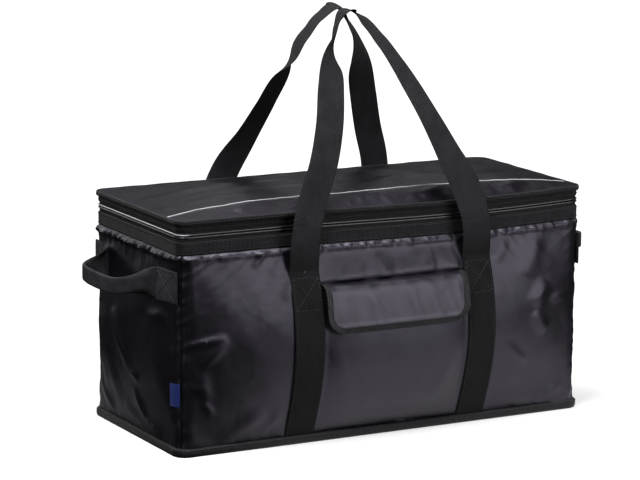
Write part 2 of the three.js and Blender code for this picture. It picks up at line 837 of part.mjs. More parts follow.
// A folded fabric label sewn in at the front left corner, leaning off the end wall.
function buildLabel() {
  const half = labelThickness / 2;
  const low = vec(0, -half, labelBottom);
  const high = vec(labelWidth, half, labelBottom + labelHeight);
  const label = block(low, high);
  label.rotateZ(THREE.MathUtils.degToRad(rightAngle + labelLean));
  label.translate(-halfLength - half - gap, gap - straightY, 0);
  add("side_label", label, "label");
}

// One slider: a plate on each side of the chain, a post between the coils, and a bail.
function buildSlider(name, y) {
  const outer = halfLength + coilThickness + gap;
  const inner = halfLength - gap - tapeThickness - gap;
  const half = sliderLength / 2;
  const low = zipHeight - sliderHeight / 2;
  const high = zipHeight + sliderHeight / 2;
  const plates = [
    block(vec(outer, y - half, low), vec(outer + plateThickness, y + half, high)),
    block(vec(inner - plateThickness, y - half, low), vec(inner, y + half, high)),
    block(
      vec(inner - plateThickness / 2, y - postLength / 2, zipHeight - postThickness / 2),
      vec(outer + plateThickness / 2, y + postLength / 2, zipHeight + postThickness / 2),
    ),
  ];
  const face = outer + plateThickness;
  const barLow = face + bailReach;
  const bailEnd = bailHalf + bailThickness / 2;
  const wide = bailWidth / 2;
  const posts = [-1, 1].map((s) =>
    block(
      vec(face - plateThickness / 2, y + s * bailHalf - bailThickness / 2, zipHeight - wide),
      vec(barLow + bailThickness, y + s * bailHalf + bailThickness / 2, zipHeight + wide),
    ),
  );
  const bar = block(
    vec(barLow, y - bailEnd, zipHeight - wide),
    vec(barLow + bailThickness, y + bailEnd, zipHeight + wide),
  );
  add(name, join(...plates, ...posts, bar), "metal");
}

// One pull tab: a pin under the bail, a slot round the bail's post and a hole at the end.
function buildPull(name, y, way) {
  const face = halfLength + coilThickness + gap + plateThickness;
  const low = face + (bailReach - pullThickness) / 2;
  const pin = pullThickness / 2;
  const end = pullLength;
  const span = (a, b) => (way > 0 ? [y + a, y + b] : [y - b, y - a]);
  const [y0, y1] = span(-pin, end);
  const [s0, s1] = span(pin, pin + pullSlot);
  const [h0, h1] = span(end - 2 * pullHole, end - pullHole);
  const halfWidth = pullWidth / 2;
  const slotHalf = bailWidth / 2 + gap + gap;
  const holeHalf = pullHole / 2;
  const plate = block(vec(low, y0, zipHeight - halfWidth), vec(low + pullThickness, y1, zipHeight + halfWidth));
  const slot = block(
    vec(low - gap, s0, zipHeight - slotHalf),
    vec(low + pullThickness + gap, s1, zipHeight + slotHalf),
  );
  const hole = block(
    vec(low - gap, h0, zipHeight - holeHalf),
    vec(low + pullThickness + gap, h1, zipHeight + holeHalf),
  );
  add(name, cut(plate, slot, hole), "metal");
}

buildBox();
buildBaseBinding();
buildMouth();
buildLid();
buildStraps();
for (const face of ["front", "back"]) {
  buildLegs(face);
  buildLoop(face);
}
buildGrabHandle("left", -1);
buildGrabHandle("right", 1);
buildPocket();
buildFlap();
buildLabel();
const sliderPlaces = [
  ["front", sliderCentre - sliderSpacing / 2, -1],
  ["rear", sliderCentre + sliderSpacing / 2, 1],
];
for (const [name, y, way] of sliderPlaces) {
  buildSlider(`${name}_slider`, y);
  buildPull(`${name}_pull`, y, way);
}

export default cooler;
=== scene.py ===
"""A large insulated soft cooler bag, dressed round its frame.

Foam-lined fabric walls, a zipped lid with a light piping line, two long webbing handles,
a grab handle on each end and a front pocket with a flap. Metres, +Z up, front towards -Y.
"""

import logging
import math
from dataclasses import dataclass, field
from enum import Enum

import bpy
import numpy as np
from mathutils import Matrix, Vector


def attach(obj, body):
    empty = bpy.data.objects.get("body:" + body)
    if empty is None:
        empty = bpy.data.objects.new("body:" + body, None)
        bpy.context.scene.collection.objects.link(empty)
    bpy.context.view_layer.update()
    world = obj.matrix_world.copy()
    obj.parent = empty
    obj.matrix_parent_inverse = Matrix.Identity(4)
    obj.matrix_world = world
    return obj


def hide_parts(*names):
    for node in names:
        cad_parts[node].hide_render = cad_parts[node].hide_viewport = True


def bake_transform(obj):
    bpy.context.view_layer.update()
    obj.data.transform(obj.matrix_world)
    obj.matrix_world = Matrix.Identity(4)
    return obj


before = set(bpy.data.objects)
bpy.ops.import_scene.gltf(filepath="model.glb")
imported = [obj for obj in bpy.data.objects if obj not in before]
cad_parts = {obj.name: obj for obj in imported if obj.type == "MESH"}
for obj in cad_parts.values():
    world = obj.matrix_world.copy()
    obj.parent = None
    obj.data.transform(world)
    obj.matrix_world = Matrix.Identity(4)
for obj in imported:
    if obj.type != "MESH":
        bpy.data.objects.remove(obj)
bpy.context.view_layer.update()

LOG = logging.getLogger("cooler")
MM = 0.001
UV_NAME = "cloth"
Array = np.ndarray


class Side(Enum):
    """A wall of the bag, by its outward direction seen from above."""

    FRONT = (0, -1)
    RIGHT = (1, 0)
    BACK = (0, 1)
    LEFT = (-1, 0)


# Small curve and mesh helpers


def unit(vectors: Array) -> Array:
    """Vectors scaled to length one, along the last axis."""
    return vectors / np.maximum(np.linalg.norm(vectors, axis=-1, keepdims=True), 1e-12)


def ease(share: Array) -> Array:
    """A share from 0 to 1 that starts and stops gently: 3s^2 - 2s^3."""
    share = np.clip(share, 0, 1)
    return share * share * (3 - 2 * share)


def run_of(points: Array) -> Array:
    """Distance along a line of points, starting at zero."""
    steps = np.linalg.norm(np.diff(points, axis=0), axis=-1)
    return np.concatenate([[0], np.cumsum(steps)])


def spline(knots: Array, values: Array, at: Array) -> Array:
    """A smooth curve through values, by cubic Hermite pieces with averaged slopes.

    Args:
        knots: rising parameters, one for each row of values.
        values: rows that the curve passes through.
        at: parameters to work out.

    Returns:
        One row for each parameter.
    """
    values = np.asarray(values, float)
    flat = values.ndim == 1
    values = values[:, None] if flat else values
    slopes = np.gradient(values, knots, axis=0)
    piece = np.clip(np.searchsorted(knots, at, side="right") - 1, 0, len(knots) - 2)
    width = (knots[piece + 1] - knots[piece])[:, None]
    t = ((at - knots[piece])[:, None]) / width
    made = (
        (2 * t**3 - 3 * t**2 + 1) * values[piece]
        + (t**3 - 2 * t**2 + t) * width * slopes[piece]
        + (3 * t**2 - 2 * t**3) * values[piece + 1]
        + (t**3 - t**2) * width * slopes[piece + 1]
    )
    return made[:, 0] if flat else made


def quads(grid: Array) -> Array:
    """The four corners of each cell of a grid, in turn, for vertex numbers or UV places."""
    cells = [grid[:-1, :-1], grid[1:, :-1], grid[1:, 1:], grid[:-1, 1:]]
    return np.stack(cells, axis=2).reshape((-1, 4) + grid.shape[2:])


def volume_of(points: Array, faces: Array) -> float:
    """Signed volume of a closed mesh, positive where its faces point out."""
    first = points[faces[:, 0]]
    total = 0.0
    for k in range(1, faces.shape[1] - 1):
        cross = np.cross(points[faces[:, k]], points[faces[:, k + 1]])
        total += float(np.einsum("ij,ij->", first, cross))
    return total / 6


def put_mesh(name: str, points: Array, faces: Array, places: Array | None, sharp: float = 50) -> bpy.types.Object:
    """Puts arrays into a new mesh object at the origin, with smooth faces pointing out.

    Args:
        name: the piece's name.
        points: vertex places, in metres.
        faces: vertex numbers, three or four to a face.
        places: UV places in metres, one for each corner of each face, or None.
        sharp: edges that turn by more degrees than this stay crisp.

    Returns:
        The new object.
    """
    if volume_of(points, faces) < 0:
        faces = faces[:, ::-1]
        places = None if places is None else places[:, ::-1]
    count, corners = faces.shape
    mesh = bpy.data.meshes.new(name)
    mesh.vertices.add(len(points))
    mesh.vertices.foreach_set("co", np.ascontiguousarray(points, np.float32).ravel())
    mesh.loops.add(count * corners)
    mesh.loops.foreach_set("vertex_index", np.ascontiguousarray(faces, np.int32).ravel())
    mesh.polygons.add(count)
    mesh.polygons.foreach_set("loop_start", np.arange(0, count * corners, corners, dtype=np.int32))
    if places is not None:
        layer = mesh.uv_layers.new(name=UV_NAME)
        layer.uv.foreach_set("vector", np.ascontiguousarray(places, np.float32).ravel())
    mesh.update(calc_edges=True)
    mesh.validate()
    mesh.shade_smooth()
    mesh.set_sharp_from_angle(angle=math.radians(sharp))
    made = bpy.data.objects.new(name, mesh)
    bpy.context.scene.collection.objects.link(made)
    return made


def loft(outer: Array, inner: Array, u: Array, v: Array, ring: bool = False) -> tuple[Array, Array, Array]:
    """A closed thin body between two grids that face each other.

    The outer grid is followed across, then the inner grid back, so that each row of both is
    one closed section. The sections are joined from row to row, and a ring also joins its
    last row to its first. Otherwise the first and last sections are closed by strips.

    Args:
        outer: points of the outer face, rows by columns by three.
        inner: points of the inner face, in the same order.
        u: UV places along the rows, with one more for a ring.
        v: UV places along the columns.
        ring: whether the last row meets the first.

    Returns:
        Points, faces and UV places.
    """
    rows, columns = outer.shape[:2]
    points = np.concatenate([outer, inner[:, ::-1]], axis=1)
    index = np.arange(rows * 2 * columns).reshape(rows, 2 * columns)
    around = np.concatenate([index, index[:, :1]], axis=1)
    if ring:
        around = np.concatenate([around, around[:1]], axis=0)
    v_loop = np.concatenate([v, v[::-1], v[:1]])
    grid = np.stack(np.broadcast_arrays(u[:, None], v_loop[None, :]), axis=-1)
    faces = [quads(around)]
    places = [quads(grid)]
    if not ring:
        for row, way in ((0, 1), (rows - 1, -1)):
            strip = np.stack([index[row, ::-1][:columns], index[row, :columns]])[:, ::way]
            line = np.stack([np.full(columns, u[row]), v], axis=-1)
            faces.append(quads(strip))
            places.append(quads(np.stack([line, line])[:, ::way]))
    return points.reshape(-1, 3), np.concatenate(faces), np.concatenate(places)


def sheet_piece(name: str, outer: Array, inner: Array, u: Array, v: Array, ring: bool = False) -> bpy.types.Object:
    """A new object from loft."""
    points, faces, places = loft(outer, inner, u, v, ring)
    return put_mesh(name, points, faces, places)


def lens(columns: int, fullness: float = 8) -> tuple[Array, Array]:
    """A woven edge's section: places across from -1 to 1, and the share of thickness there.

    The places are a sine, so they crowd at the edges, and the thickness falls to a tenth
    there as the square root of 1 - |place|^fullness.
    """
    place = np.sin(np.linspace(-math.pi / 2, math.pi / 2, columns))
    return place, np.maximum(np.sqrt(1 - np.abs(place) ** fullness), 0.1)


def ribbon(
    centre: Array, across: Array, normal: Array, width: Array, thickness: Array, columns: int = 13
) -> tuple[Array, Array]:
    """Two faces of a ribbon along a line, thinned at its edges.

    Args:
        centre: points of the middle line.
        across: directions across the ribbon at those points.
        normal: directions out of its face.
        width: its width at each point.
        thickness: its thickness at each point.
        columns: points across.

    Returns:
        The outer and the inner grid.
    """
    place, thick = lens(columns)
    middle = centre[:, None] + across[:, None] * (place[None, :] * width[:, None] / 2)[..., None]
    lift = normal[:, None] * (thick[None, :] * thickness[:, None] / 2)[..., None]
    return middle + lift, middle - lift


def round_rod(centre: Array, across: Array, normal: Array, radius: Array, sides: int = 12) -> tuple[Array, Array]:
    """Two half faces of a round rod along a line: half circles of the given radius."""
    angle = (np.arange(sides // 2) + 0.5) * math.pi / (sides // 2)
    half = across[:, None] * np.cos(angle)[None, :, None]
    lift = normal[:, None] * np.sin(angle)[None, :, None]
    wide = radius[:, None, None]
    return centre[:, None] + (half + lift) * wide, centre[:, None] + (half - lift) * wide


@dataclass(frozen=True)
class Thread:
    """Sewing thread: how long, far apart and thick its stitches lie."""

    length: float = 4.2 * MM
    gap: float = 1.8 * MM
    radius: float = 0.45 * MM
    ring_shares: tuple[float, ...] = (-0.5, -0.36, 0.36, 0.5)
    swell_shares: tuple[float, ...] = (0.25, 1, 1, 0.25)
    sides: int = 6


THREAD = Thread()


@dataclass
class Seams:
    """Stitches gathered for one mesh."""

    name: str
    points: list[Array] = field(default_factory=list)
    faces: list[Array] = field(default_factory=list)
    count: int = 0

    def sew(self, line: Array, normal: Array) -> None:
        """Lays stitches along a line.

        Each stitch is a short six-sided rod, thinner at its ends, that lies on the surface
        at its place along the line. All are worked out at once from one pattern rod.

        Args:
            line: points of the seam, on the surface.
            normal: directions out of the surface at those points.
        """
        run = run_of(line)
        pitch = THREAD.length + THREAD.gap
        at = np.arange(pitch / 2, run[-1] - THREAD.length / 2, pitch)
        if not len(at):
            return
        place = np.stack([np.interp(at, run, line[:, k]) for k in range(3)], axis=-1)
        ahead = np.stack([np.interp(at + MM, run, line[:, k]) for k in range(3)], axis=-1)
        behind = np.stack([np.interp(at - MM, run, line[:, k]) for k in range(3)], axis=-1)
        along = unit(ahead - behind)
        up = unit(np.stack([np.interp(at, run, normal[:, k]) for k in range(3)], axis=-1))
        side = np.cross(along, up)
        angle = np.arange(THREAD.sides) * 2 * math.pi / THREAD.sides
        swell = np.array(THREAD.swell_shares)[:, None] * THREAD.radius
        x = np.repeat(np.array(THREAD.ring_shares) * THREAD.length, THREAD.sides)
        y = (swell * np.cos(angle)).ravel()
        z = (swell * np.sin(angle)).ravel() + THREAD.radius * 0.35
        body = place[:, None] + along[:, None] * x[:, None] + side[:, None] * y[:, None] + up[:, None] * z[:, None]
        rings = len(THREAD.ring_shares)
        index = np.arange(rings * THREAD.sides).reshape(rings, THREAD.sides)
        around = np.concatenate([index, index[:, :1]], axis=1)
        s = THREAD.sides
        cap = np.array([[0, 1, 2, 3], [0, 3, 4, 5]])
        pattern = np.concatenate([quads(around), cap, cap[:, ::-1] + (rings - 1) * s])
        each = rings * s
        shift = (np.arange(len(at)) * each)[:, None, None]
        self.faces.append((pattern[None] + shift).reshape(-1, 4) + self.count)
        self.points.append(body.reshape(-1, 3))
        self.count += len(at) * each

    def make(self, finish: bpy.types.Material) -> bpy.types.Object:
        """One mesh of all the stitches."""
        made = put_mesh(self.name, np.concatenate(self.points), np.concatenate(self.faces), None)
        made.data.materials.append(finish)
        return made


def settle(piece: bpy.types.Object, body: str, slot: str, *nodes: str) -> bpy.types.Object:
    """Rides a finished piece on a body, and hides the nodes that it stands for."""
    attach(piece, body)
    if nodes:
        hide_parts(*nodes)
    LOG.info("%s rides on %s", piece.name, body)
    return piece


def bend(
    piece: bpy.types.Object, bodies: tuple[str, str], start: Array, end: Array, slot: str, *nodes: str
) -> bpy.types.Object:
    """Bakes a finished piece's place into its mesh and hides the nodes that it stands for."""
    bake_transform(piece)
    if nodes:
        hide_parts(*nodes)
    LOG.info("%s bends between %s and %s", piece.name, *bodies)
    return piece


def relax(name: str, start: Array, pins: Array, growth: Array, cap: float, frames: int = 24) -> Array:
    """The shape of a sewn sheet after its cloth has had room to buckle.

    Blender's Cloth moves the sheet from its starting shape with gravity off. Each spring
    grows by a share of its length, the pinned points stay, and the rest buckles into
    creases. A point moves cap at most: its move is scaled by cap * tanh(m / cap) / m.

    Args:
        name: a name for the working mesh.
        start: the sheet's grid of points.
        pins: how firmly each point is held, from 0 to 1.
        growth: the share by which the cloth grows at each point.
        cap: the furthest that a point may move, in metres.
        frames: how many frames the cloth moves for.
    """
    index = np.arange(start[..., 0].size).reshape(start.shape[:2])
    mesh = bpy.data.meshes.new(name)
    mesh.from_pydata(start.reshape(-1, 3).tolist(), [], quads(index).tolist())
    cloth = bpy.data.objects.new(name, mesh)
    bpy.context.scene.collection.objects.link(cloth)
    most = float(growth.max())
    for group_name, shares in (("pinned", pins), ("growing", growth / most)):
        group = cloth.vertex_groups.new(name=group_name)
        levels = np.round(shares.ravel() * 20) / 20
        for level in np.unique(levels):
            group.add(np.flatnonzero(levels == level).tolist(), float(level), "REPLACE")
    made = cloth.modifiers.new("cloth", "CLOTH")
    settings = made.settings
    settings.quality = 5
    settings.mass = 0.2
    settings.tension_stiffness = settings.compression_stiffness = 25
    settings.shear_stiffness = 12
    settings.bending_stiffness = 0.03
    settings.air_damping = 2
    settings.vertex_group_mass = "pinned"
    settings.vertex_group_shrink = "growing"
    settings.shrink_min = 0.0
    settings.shrink_max = -most
    settings.effector_weights.gravity = 0
    made.collision_settings.use_collision = False
    made.point_cache.frame_end = frames
    scene = bpy.context.scene
    for step in range(1, frames + 1):
        scene.frame_set(step)
    shape = cloth.evaluated_get(bpy.context.evaluated_depsgraph_get()).to_mesh()
    points = np.empty(start.size, np.float32)
    shape.vertices.foreach_get("co", points)
    moved = points.reshape(start.shape) - start
    bpy.data.objects.remove(cloth)
    scene.frame_set(1)
    far = np.maximum(np.linalg.norm(moved, axis=-1, keepdims=True), 1e-9)
    LOG.info("%s: cloth moved %.1f mm at most, %.2f mm on average", name, far.max() / MM, far.mean() / MM)
    return start + moved * (cap * np.tanh(far / cap) / far)


# Finishes


def linear(code: str) -> tuple[float, float, float, float]:
    """An sRGB hex colour such as #1a2b3c as linear red, green, blue and alpha."""
    shares = [int(code[i : i + 2], 16) / 255 for i in (1, 3, 5)]
    highlight_share = [s / 12.92 if s <= 0.04045 else ((s + 0.055) / 1.055) ** 2.4 for s in shares]
    return (*highlight_share, 1.0)


def add_node(tree: bpy.types.NodeTree, kind: str, inputs: dict | None = None, **settings) -> bpy.types.Node:
    """Adds a node.

    Args:
        tree: the material's node tree.
        kind: the node's type name.
        inputs: by socket, a value to set or a socket to link from.
        settings: properties of the node.

    Returns:
        The new node.
    """
    made = tree.nodes.new(kind)
    for key, value in settings.items():
        setattr(made, key, value)
    for key, value in (inputs or {}).items():
        if isinstance(value, bpy.types.NodeSocket):
            tree.links.new(value, made.inputs[key])
        else:
            made.inputs[key].default_value = value
    return made


def wave_scale(period: float) -> float:
    """The Wave texture's scale for bands that repeat at a period in metres: 2 pi / 20 / period."""
    return 2 * math.pi / 20 / period


@dataclass(frozen=True)
class Woven:
    """A woven or knitted finish: two crossing sets of yarn over a mottled colour.

    The yarns run along and across the piece's own cloth map, so they turn with the cloth. A painted shade darkens the
    colour below a height, for the shade on straps lying flat on the wall.
    """

    name: str
    colour: str
    light: str
    roughness: float
    pitch_along: float
    pitch_across: float
    depth: float
    sheen: float = 0.0
    sheen_roughness: float = 0.4
    sheen_tint: str = "#ffffff"
    coat: float = 0.0
    coat_roughness: float = 0.3
    specular: float = 0.5
    specular_tint: str = "#ffffff"
    mottle: float = 0.03
    worn: float = 0.5
    metallic: float = 0.0
    crinkle: float = 0.0
    crinkle_size: float = 40 * MM
    low_painted_shade: float = 1.0
    sewn_height: float = 225 * MM
    free_height: float = 330 * MM

    def make(self) -> bpy.types.Material:
        """The finish as a node material."""
        made = bpy.data.materials.new(self.name)
        made.use_nodes = True
        tree = made.node_tree
        tree.nodes.clear()
        places = add_node(tree, "ShaderNodeUVMap", uv_map=UV_NAME)
        object_places = add_node(tree, "ShaderNodeTexCoord")
        along = add_node(
            tree,
            "ShaderNodeTexWave",
            {"Vector": places.outputs["UV"], "Scale": wave_scale(self.pitch_along)},
            bands_direction="X",
        )
        across = add_node(
            tree,
            "ShaderNodeTexWave",
            {"Vector": places.outputs["UV"], "Scale": wave_scale(self.pitch_across)},
            bands_direction="Y",
        )
        weave = add_node(
            tree,
            "ShaderNodeMath",
            {0: along.outputs["Fac"], 1: across.outputs["Fac"]},
            operation="MULTIPLY_ADD",
        )
        tree.links.new(along.outputs["Fac"], weave.inputs[2])
        mottle = add_node(
            tree,
            "ShaderNodeTexNoise",
            {"Vector": object_places.outputs["Object"], "Scale": 1 / self.mottle, "Detail": 4.0, "Roughness": 0.6},
        )
        fuzz = add_node(
            tree,
            "ShaderNodeTexNoise",
            {"Vector": places.outputs["UV"], "Scale": 0.7 / self.pitch_along, "Detail": 2.0, "Roughness": 0.7},
        )
        shade = add_node(
            tree,
            "ShaderNodeMath",
            {0: weave.outputs[0], 1: mottle.outputs["Fac"]},
            operation="MULTIPLY",
        )
        mixed = add_node(
            tree,
            "ShaderNodeMixRGB",
            {"Fac": shade.outputs[0], "Color1": linear(self.colour), "Color2": linear(self.light)},
        )
        # Painted shade: the colour is scaled down below a height, standing in for the shade on the sewn straps
        # against the wall.
        if self.low_painted_shade < 1:
            split = add_node(tree, "ShaderNodeSeparateXYZ", {"Vector": object_places.outputs["Object"]})
            painted_shade_share = add_node(
                tree,
                "ShaderNodeMapRange",
                {
                    "Value": split.outputs["Z"],
                    "From Min": self.sewn_height,
                    "From Max": self.free_height,
                    "To Min": self.low_painted_shade,
                    "To Max": 1.0,
                },
                interpolation_type="SMOOTHSTEP",
            )
            mixed = add_node(
                tree, "ShaderNodeVectorMath", {0: mixed.outputs[0], "Scale": painted_shade_share.outputs[0]}, operation="SCALE"
            )
        rough = add_node(
            tree,
            "ShaderNodeMapRange",
            {
                "Value": mottle.outputs["Fac"],
                "From Min": 0.3,
                "From Max": 0.7,
                "To Min": self.roughness - 0.05,
                "To Max": self.roughness + 0.05,
            },
        )
        height = add_node(
            tree,
            "ShaderNodeMath",
            {0: fuzz.outputs["Fac"], 1: self.worn, 2: weave.outputs[0]},
            operation="MULTIPLY_ADD",
        )
        bump = add_node(
            tree,
            "ShaderNodeBump",
            {"Height": height.outputs[0], "Distance": self.depth, "Strength": 1.0},
        )
        if self.crinkle:
            creases = add_node(
                tree,
                "ShaderNodeTexNoise",
                {
                    "Vector": object_places.outputs["Object"],
                    "Scale": 1 / self.crinkle_size,
                    "Detail": 1.5,
                    "Roughness": 0.4,
                    "Distortion": 0.6,
                },
            )
            add_node(
                tree,
                "ShaderNodeBump",
                {"Height": creases.outputs["Fac"], "Distance": self.crinkle * 8, "Strength": 0.7},
                name="crinkles",
            )
            tree.links.new(tree.nodes["crinkles"].outputs["Normal"], bump.inputs["Normal"])
        shader = add_node(
            tree,
            "ShaderNodeBsdfPrincipled",
            {
                "Base Color": mixed.outputs[0],
                "Roughness": rough.outputs[0],
                "Normal": bump.outputs["Normal"],
                "Metallic": self.metallic,
                "Specular IOR Level": self.specular,
                "Specular Tint": linear(self.specular_tint),
                "Sheen Weight": self.sheen,
                "Sheen Roughness": self.sheen_roughness,
                "Sheen Tint": linear(self.sheen_tint),
                "Coat Weight": self.coat,
                "Coat Roughness": self.coat_roughness,
            },
        )
        add_node(tree, "ShaderNodeOutputMaterial", {"Surface": shader.outputs[0]})
        return made


@dataclass(frozen=True)
class Solid:
    """A moulded, cast or foamed finish: a colour with a fine grain on object places, and a pale painted highlight
    beyond an edge in x where one is given.
    """

    name: str
    colour: str
    light: str
    roughness: float
    grain: float
    depth: float
    metallic: float = 0.0
    specular: float = 0.5
    subsurface: float = 0.0
    pale: str = ""
    highlight_edge: float = -318 * MM

    def make(self) -> bpy.types.Material:
        """The finish as a node material."""
        made = bpy.data.materials.new(self.name)
        made.use_nodes = True
        tree = made.node_tree
        tree.nodes.clear()
        places = add_node(tree, "ShaderNodeTexCoord")
        grain = add_node(
            tree,
            "ShaderNodeTexNoise",
            {"Vector": places.outputs["Object"], "Scale": 1 / self.grain, "Detail": 5.0, "Roughness": 0.6},
        )
        mixed = add_node(
            tree,
            "ShaderNodeMixRGB",
            {"Fac": grain.outputs["Fac"], "Color1": linear(self.colour), "Color2": linear(self.light)},
        )
        # Painted highlight: left of an edge in x the colour turns pale, standing in for light caught along the zip
        # coil on the left end.
        if self.pale:
            split = add_node(tree, "ShaderNodeSeparateXYZ", {"Vector": places.outputs["Object"]})
            highlight_share = add_node(
                tree,
                "ShaderNodeMapRange",
                {"Value": split.outputs["X"], "From Min": self.highlight_edge, "From Max": self.highlight_edge + 12 * MM},
                interpolation_type="SMOOTHSTEP",
            )
            mixed = add_node(
                tree,
                "ShaderNodeMixRGB",
                {"Fac": highlight_share.outputs[0], "Color1": linear(self.pale), "Color2": mixed.outputs[0]},
            )
        rough = add_node(
            tree,
            "ShaderNodeMapRange",
            {
                "Value": grain.outputs["Fac"],
                "From Min": 0.3,
                "From Max": 0.7,
                "To Min": self.roughness - 0.08,
                "To Max": self.roughness + 0.08,
            },
        )
        bump = add_node(
            tree,
            "ShaderNodeBump",
            {"Height": grain.outputs["Fac"], "Distance": self.depth, "Strength": 0.6},
        )
        shader = add_node(
            tree,
            "ShaderNodeBsdfPrincipled",
            {
                "Base Color": mixed.outputs[0],
                "Roughness": rough.outputs[0],
                "Normal": bump.outputs["Normal"],
                "Metallic": self.metallic,
                "Specular IOR Level": self.specular,
                "Subsurface Weight": self.subsurface,
            },
        )
        add_node(tree, "ShaderNodeOutputMaterial", {"Surface": shader.outputs[0]})
        return made


class Finishes:
    """Every finish of the bag, made once."""

    def __init__(self) -> None:
        """Makes the materials."""
        # Coated filament polyester: a smooth satin face that takes broad soft highlights.
        self.shell = Woven(
            "coated_polyester", "#0b0a0d", "#19171d", 0.36, 1.5 * MM, 1.5 * MM, 0.06 * MM,
            specular=0.72, mottle=40 * MM, worn=0.4, crinkle=0.25 * MM, crinkle_size=44 * MM,
            specular_tint="#f3ecff",
        ).make()
        # Woven polypropylene webbing: matt, with ribs across and grey lit yarn, and painted shade low down where the
        # straps lie on the wall.
        self.webbing = Woven(
            "polypropylene_webbing", "#101011", "#3e3e42", 0.7, 1.5 * MM, 2.0 * MM, 0.3 * MM,
            sheen=0.02, sheen_roughness=0.5, specular=0.15, mottle=25 * MM, worn=2.4, low_painted_shade=0.45,
        ).make()
        # The same webbing all one tone, painted lighter than the straps to stand in for the light on the short grab
        # handles.
        self.grab_webbing = Woven(
            "grab_webbing", "#161617", "#56565b", 0.7, 1.5 * MM, 2.0 * MM, 0.3 * MM,
            sheen=0.02, sheen_roughness=0.5, specular=0.15, mottle=25 * MM, worn=2.4,
        ).make()
        # Polyester grosgrain binding: fine ribs across its length, a little glossier.
        self.grosgrain = Woven(
            "polyester_grosgrain", "#0a0a0c", "#2c2b30", 0.5, 2.0 * MM, 2.6 * MM, 0.35 * MM,
            sheen=0.05, specular=0.35, mottle=15 * MM, worn=1.4,
        ).make()
        # Aluminised film on a thin scrim: bright grey, with small creases of its own.
        self.lining = Woven(
            "aluminised_lining", "#989da1", "#c6cacd", 0.34, 3 * MM, 3 * MM, 0.12 * MM,
            metallic=0.55, mottle=18 * MM, worn=0.6,
        ).make()
        # Knitted zip tape: plain and matt.
        self.tape = Woven(
            "knitted_zip_tape", "#0c0c0e", "#1e1e20", 0.7, 1.2 * MM, 1.6 * MM, 0.15 * MM, mottle=12 * MM
        ).make()
        # Nylon coil: drawn filament, glossier than the tape, so its crests catch the light.
        self.coil = Solid("nylon_coil", "#1a1b1e", "#303136", 0.28, 2 * MM, 0.05 * MM, specular=0.6).make()
        # The lid's half is the same coil, with a pale painted highlight on the left end.
        self.coil_painted_highlight = Solid(
            "nylon_coil_pale_end", "#1a1b1e", "#303136", 0.28, 2 * MM, 0.05 * MM, specular=0.6, pale="#a6a8ac"
        ).make()
        # Spun polyester thread: black, with a slight shine.
        self.thread = Solid("polyester_thread", "#161617", "#2a2a2c", 0.5, 1 * MM, 0.05 * MM).make()
        # Closed-cell polyethylene foam: off-white with a fine cell grain.
        self.foam = Solid("polyethylene_foam", "#d9dcdd", "#eef0f0", 0.85, 1.5 * MM, 0.4 * MM).make()
        # Hollow polypropylene board: smooth dark sheet.
        self.board = Solid("polypropylene_board", "#33353a", "#44464b", 0.5, 8 * MM, 0.1 * MM).make()
        # Painted zinc alloy: black semi-gloss paint.
        self.zinc = Solid("painted_zinc", "#1b1c1e", "#2c2d30", 0.32, 3 * MM, 0.03 * MM, specular=0.6).make()
        # Coated piping cord: silver-white, softly bright.
        self.piping = Woven(
            "silver_piping", "#8d8f93", "#c4c6c9", 0.38, 1.6 * MM, 1.6 * MM, 0.1 * MM, metallic=0.25, mottle=12 * MM
        ).make()
        # Damask-woven label: plain blue satin.
        self.label = Woven(
            "woven_label", "#12235c", "#21397f", 0.45, 0.8 * MM, 0.8 * MM, 0.08 * MM, sheen=0.3, mottle=8 * MM
        ).make()
        # Hook and loop tape: a matt nap.
        self.nap = Woven(
            "hook_and_loop_tape", "#131314", "#2e2e30", 0.85, 1.5 * MM, 1.5 * MM, 0.5 * MM, mottle=6 * MM, worn=3
        ).make()


# The bag's form


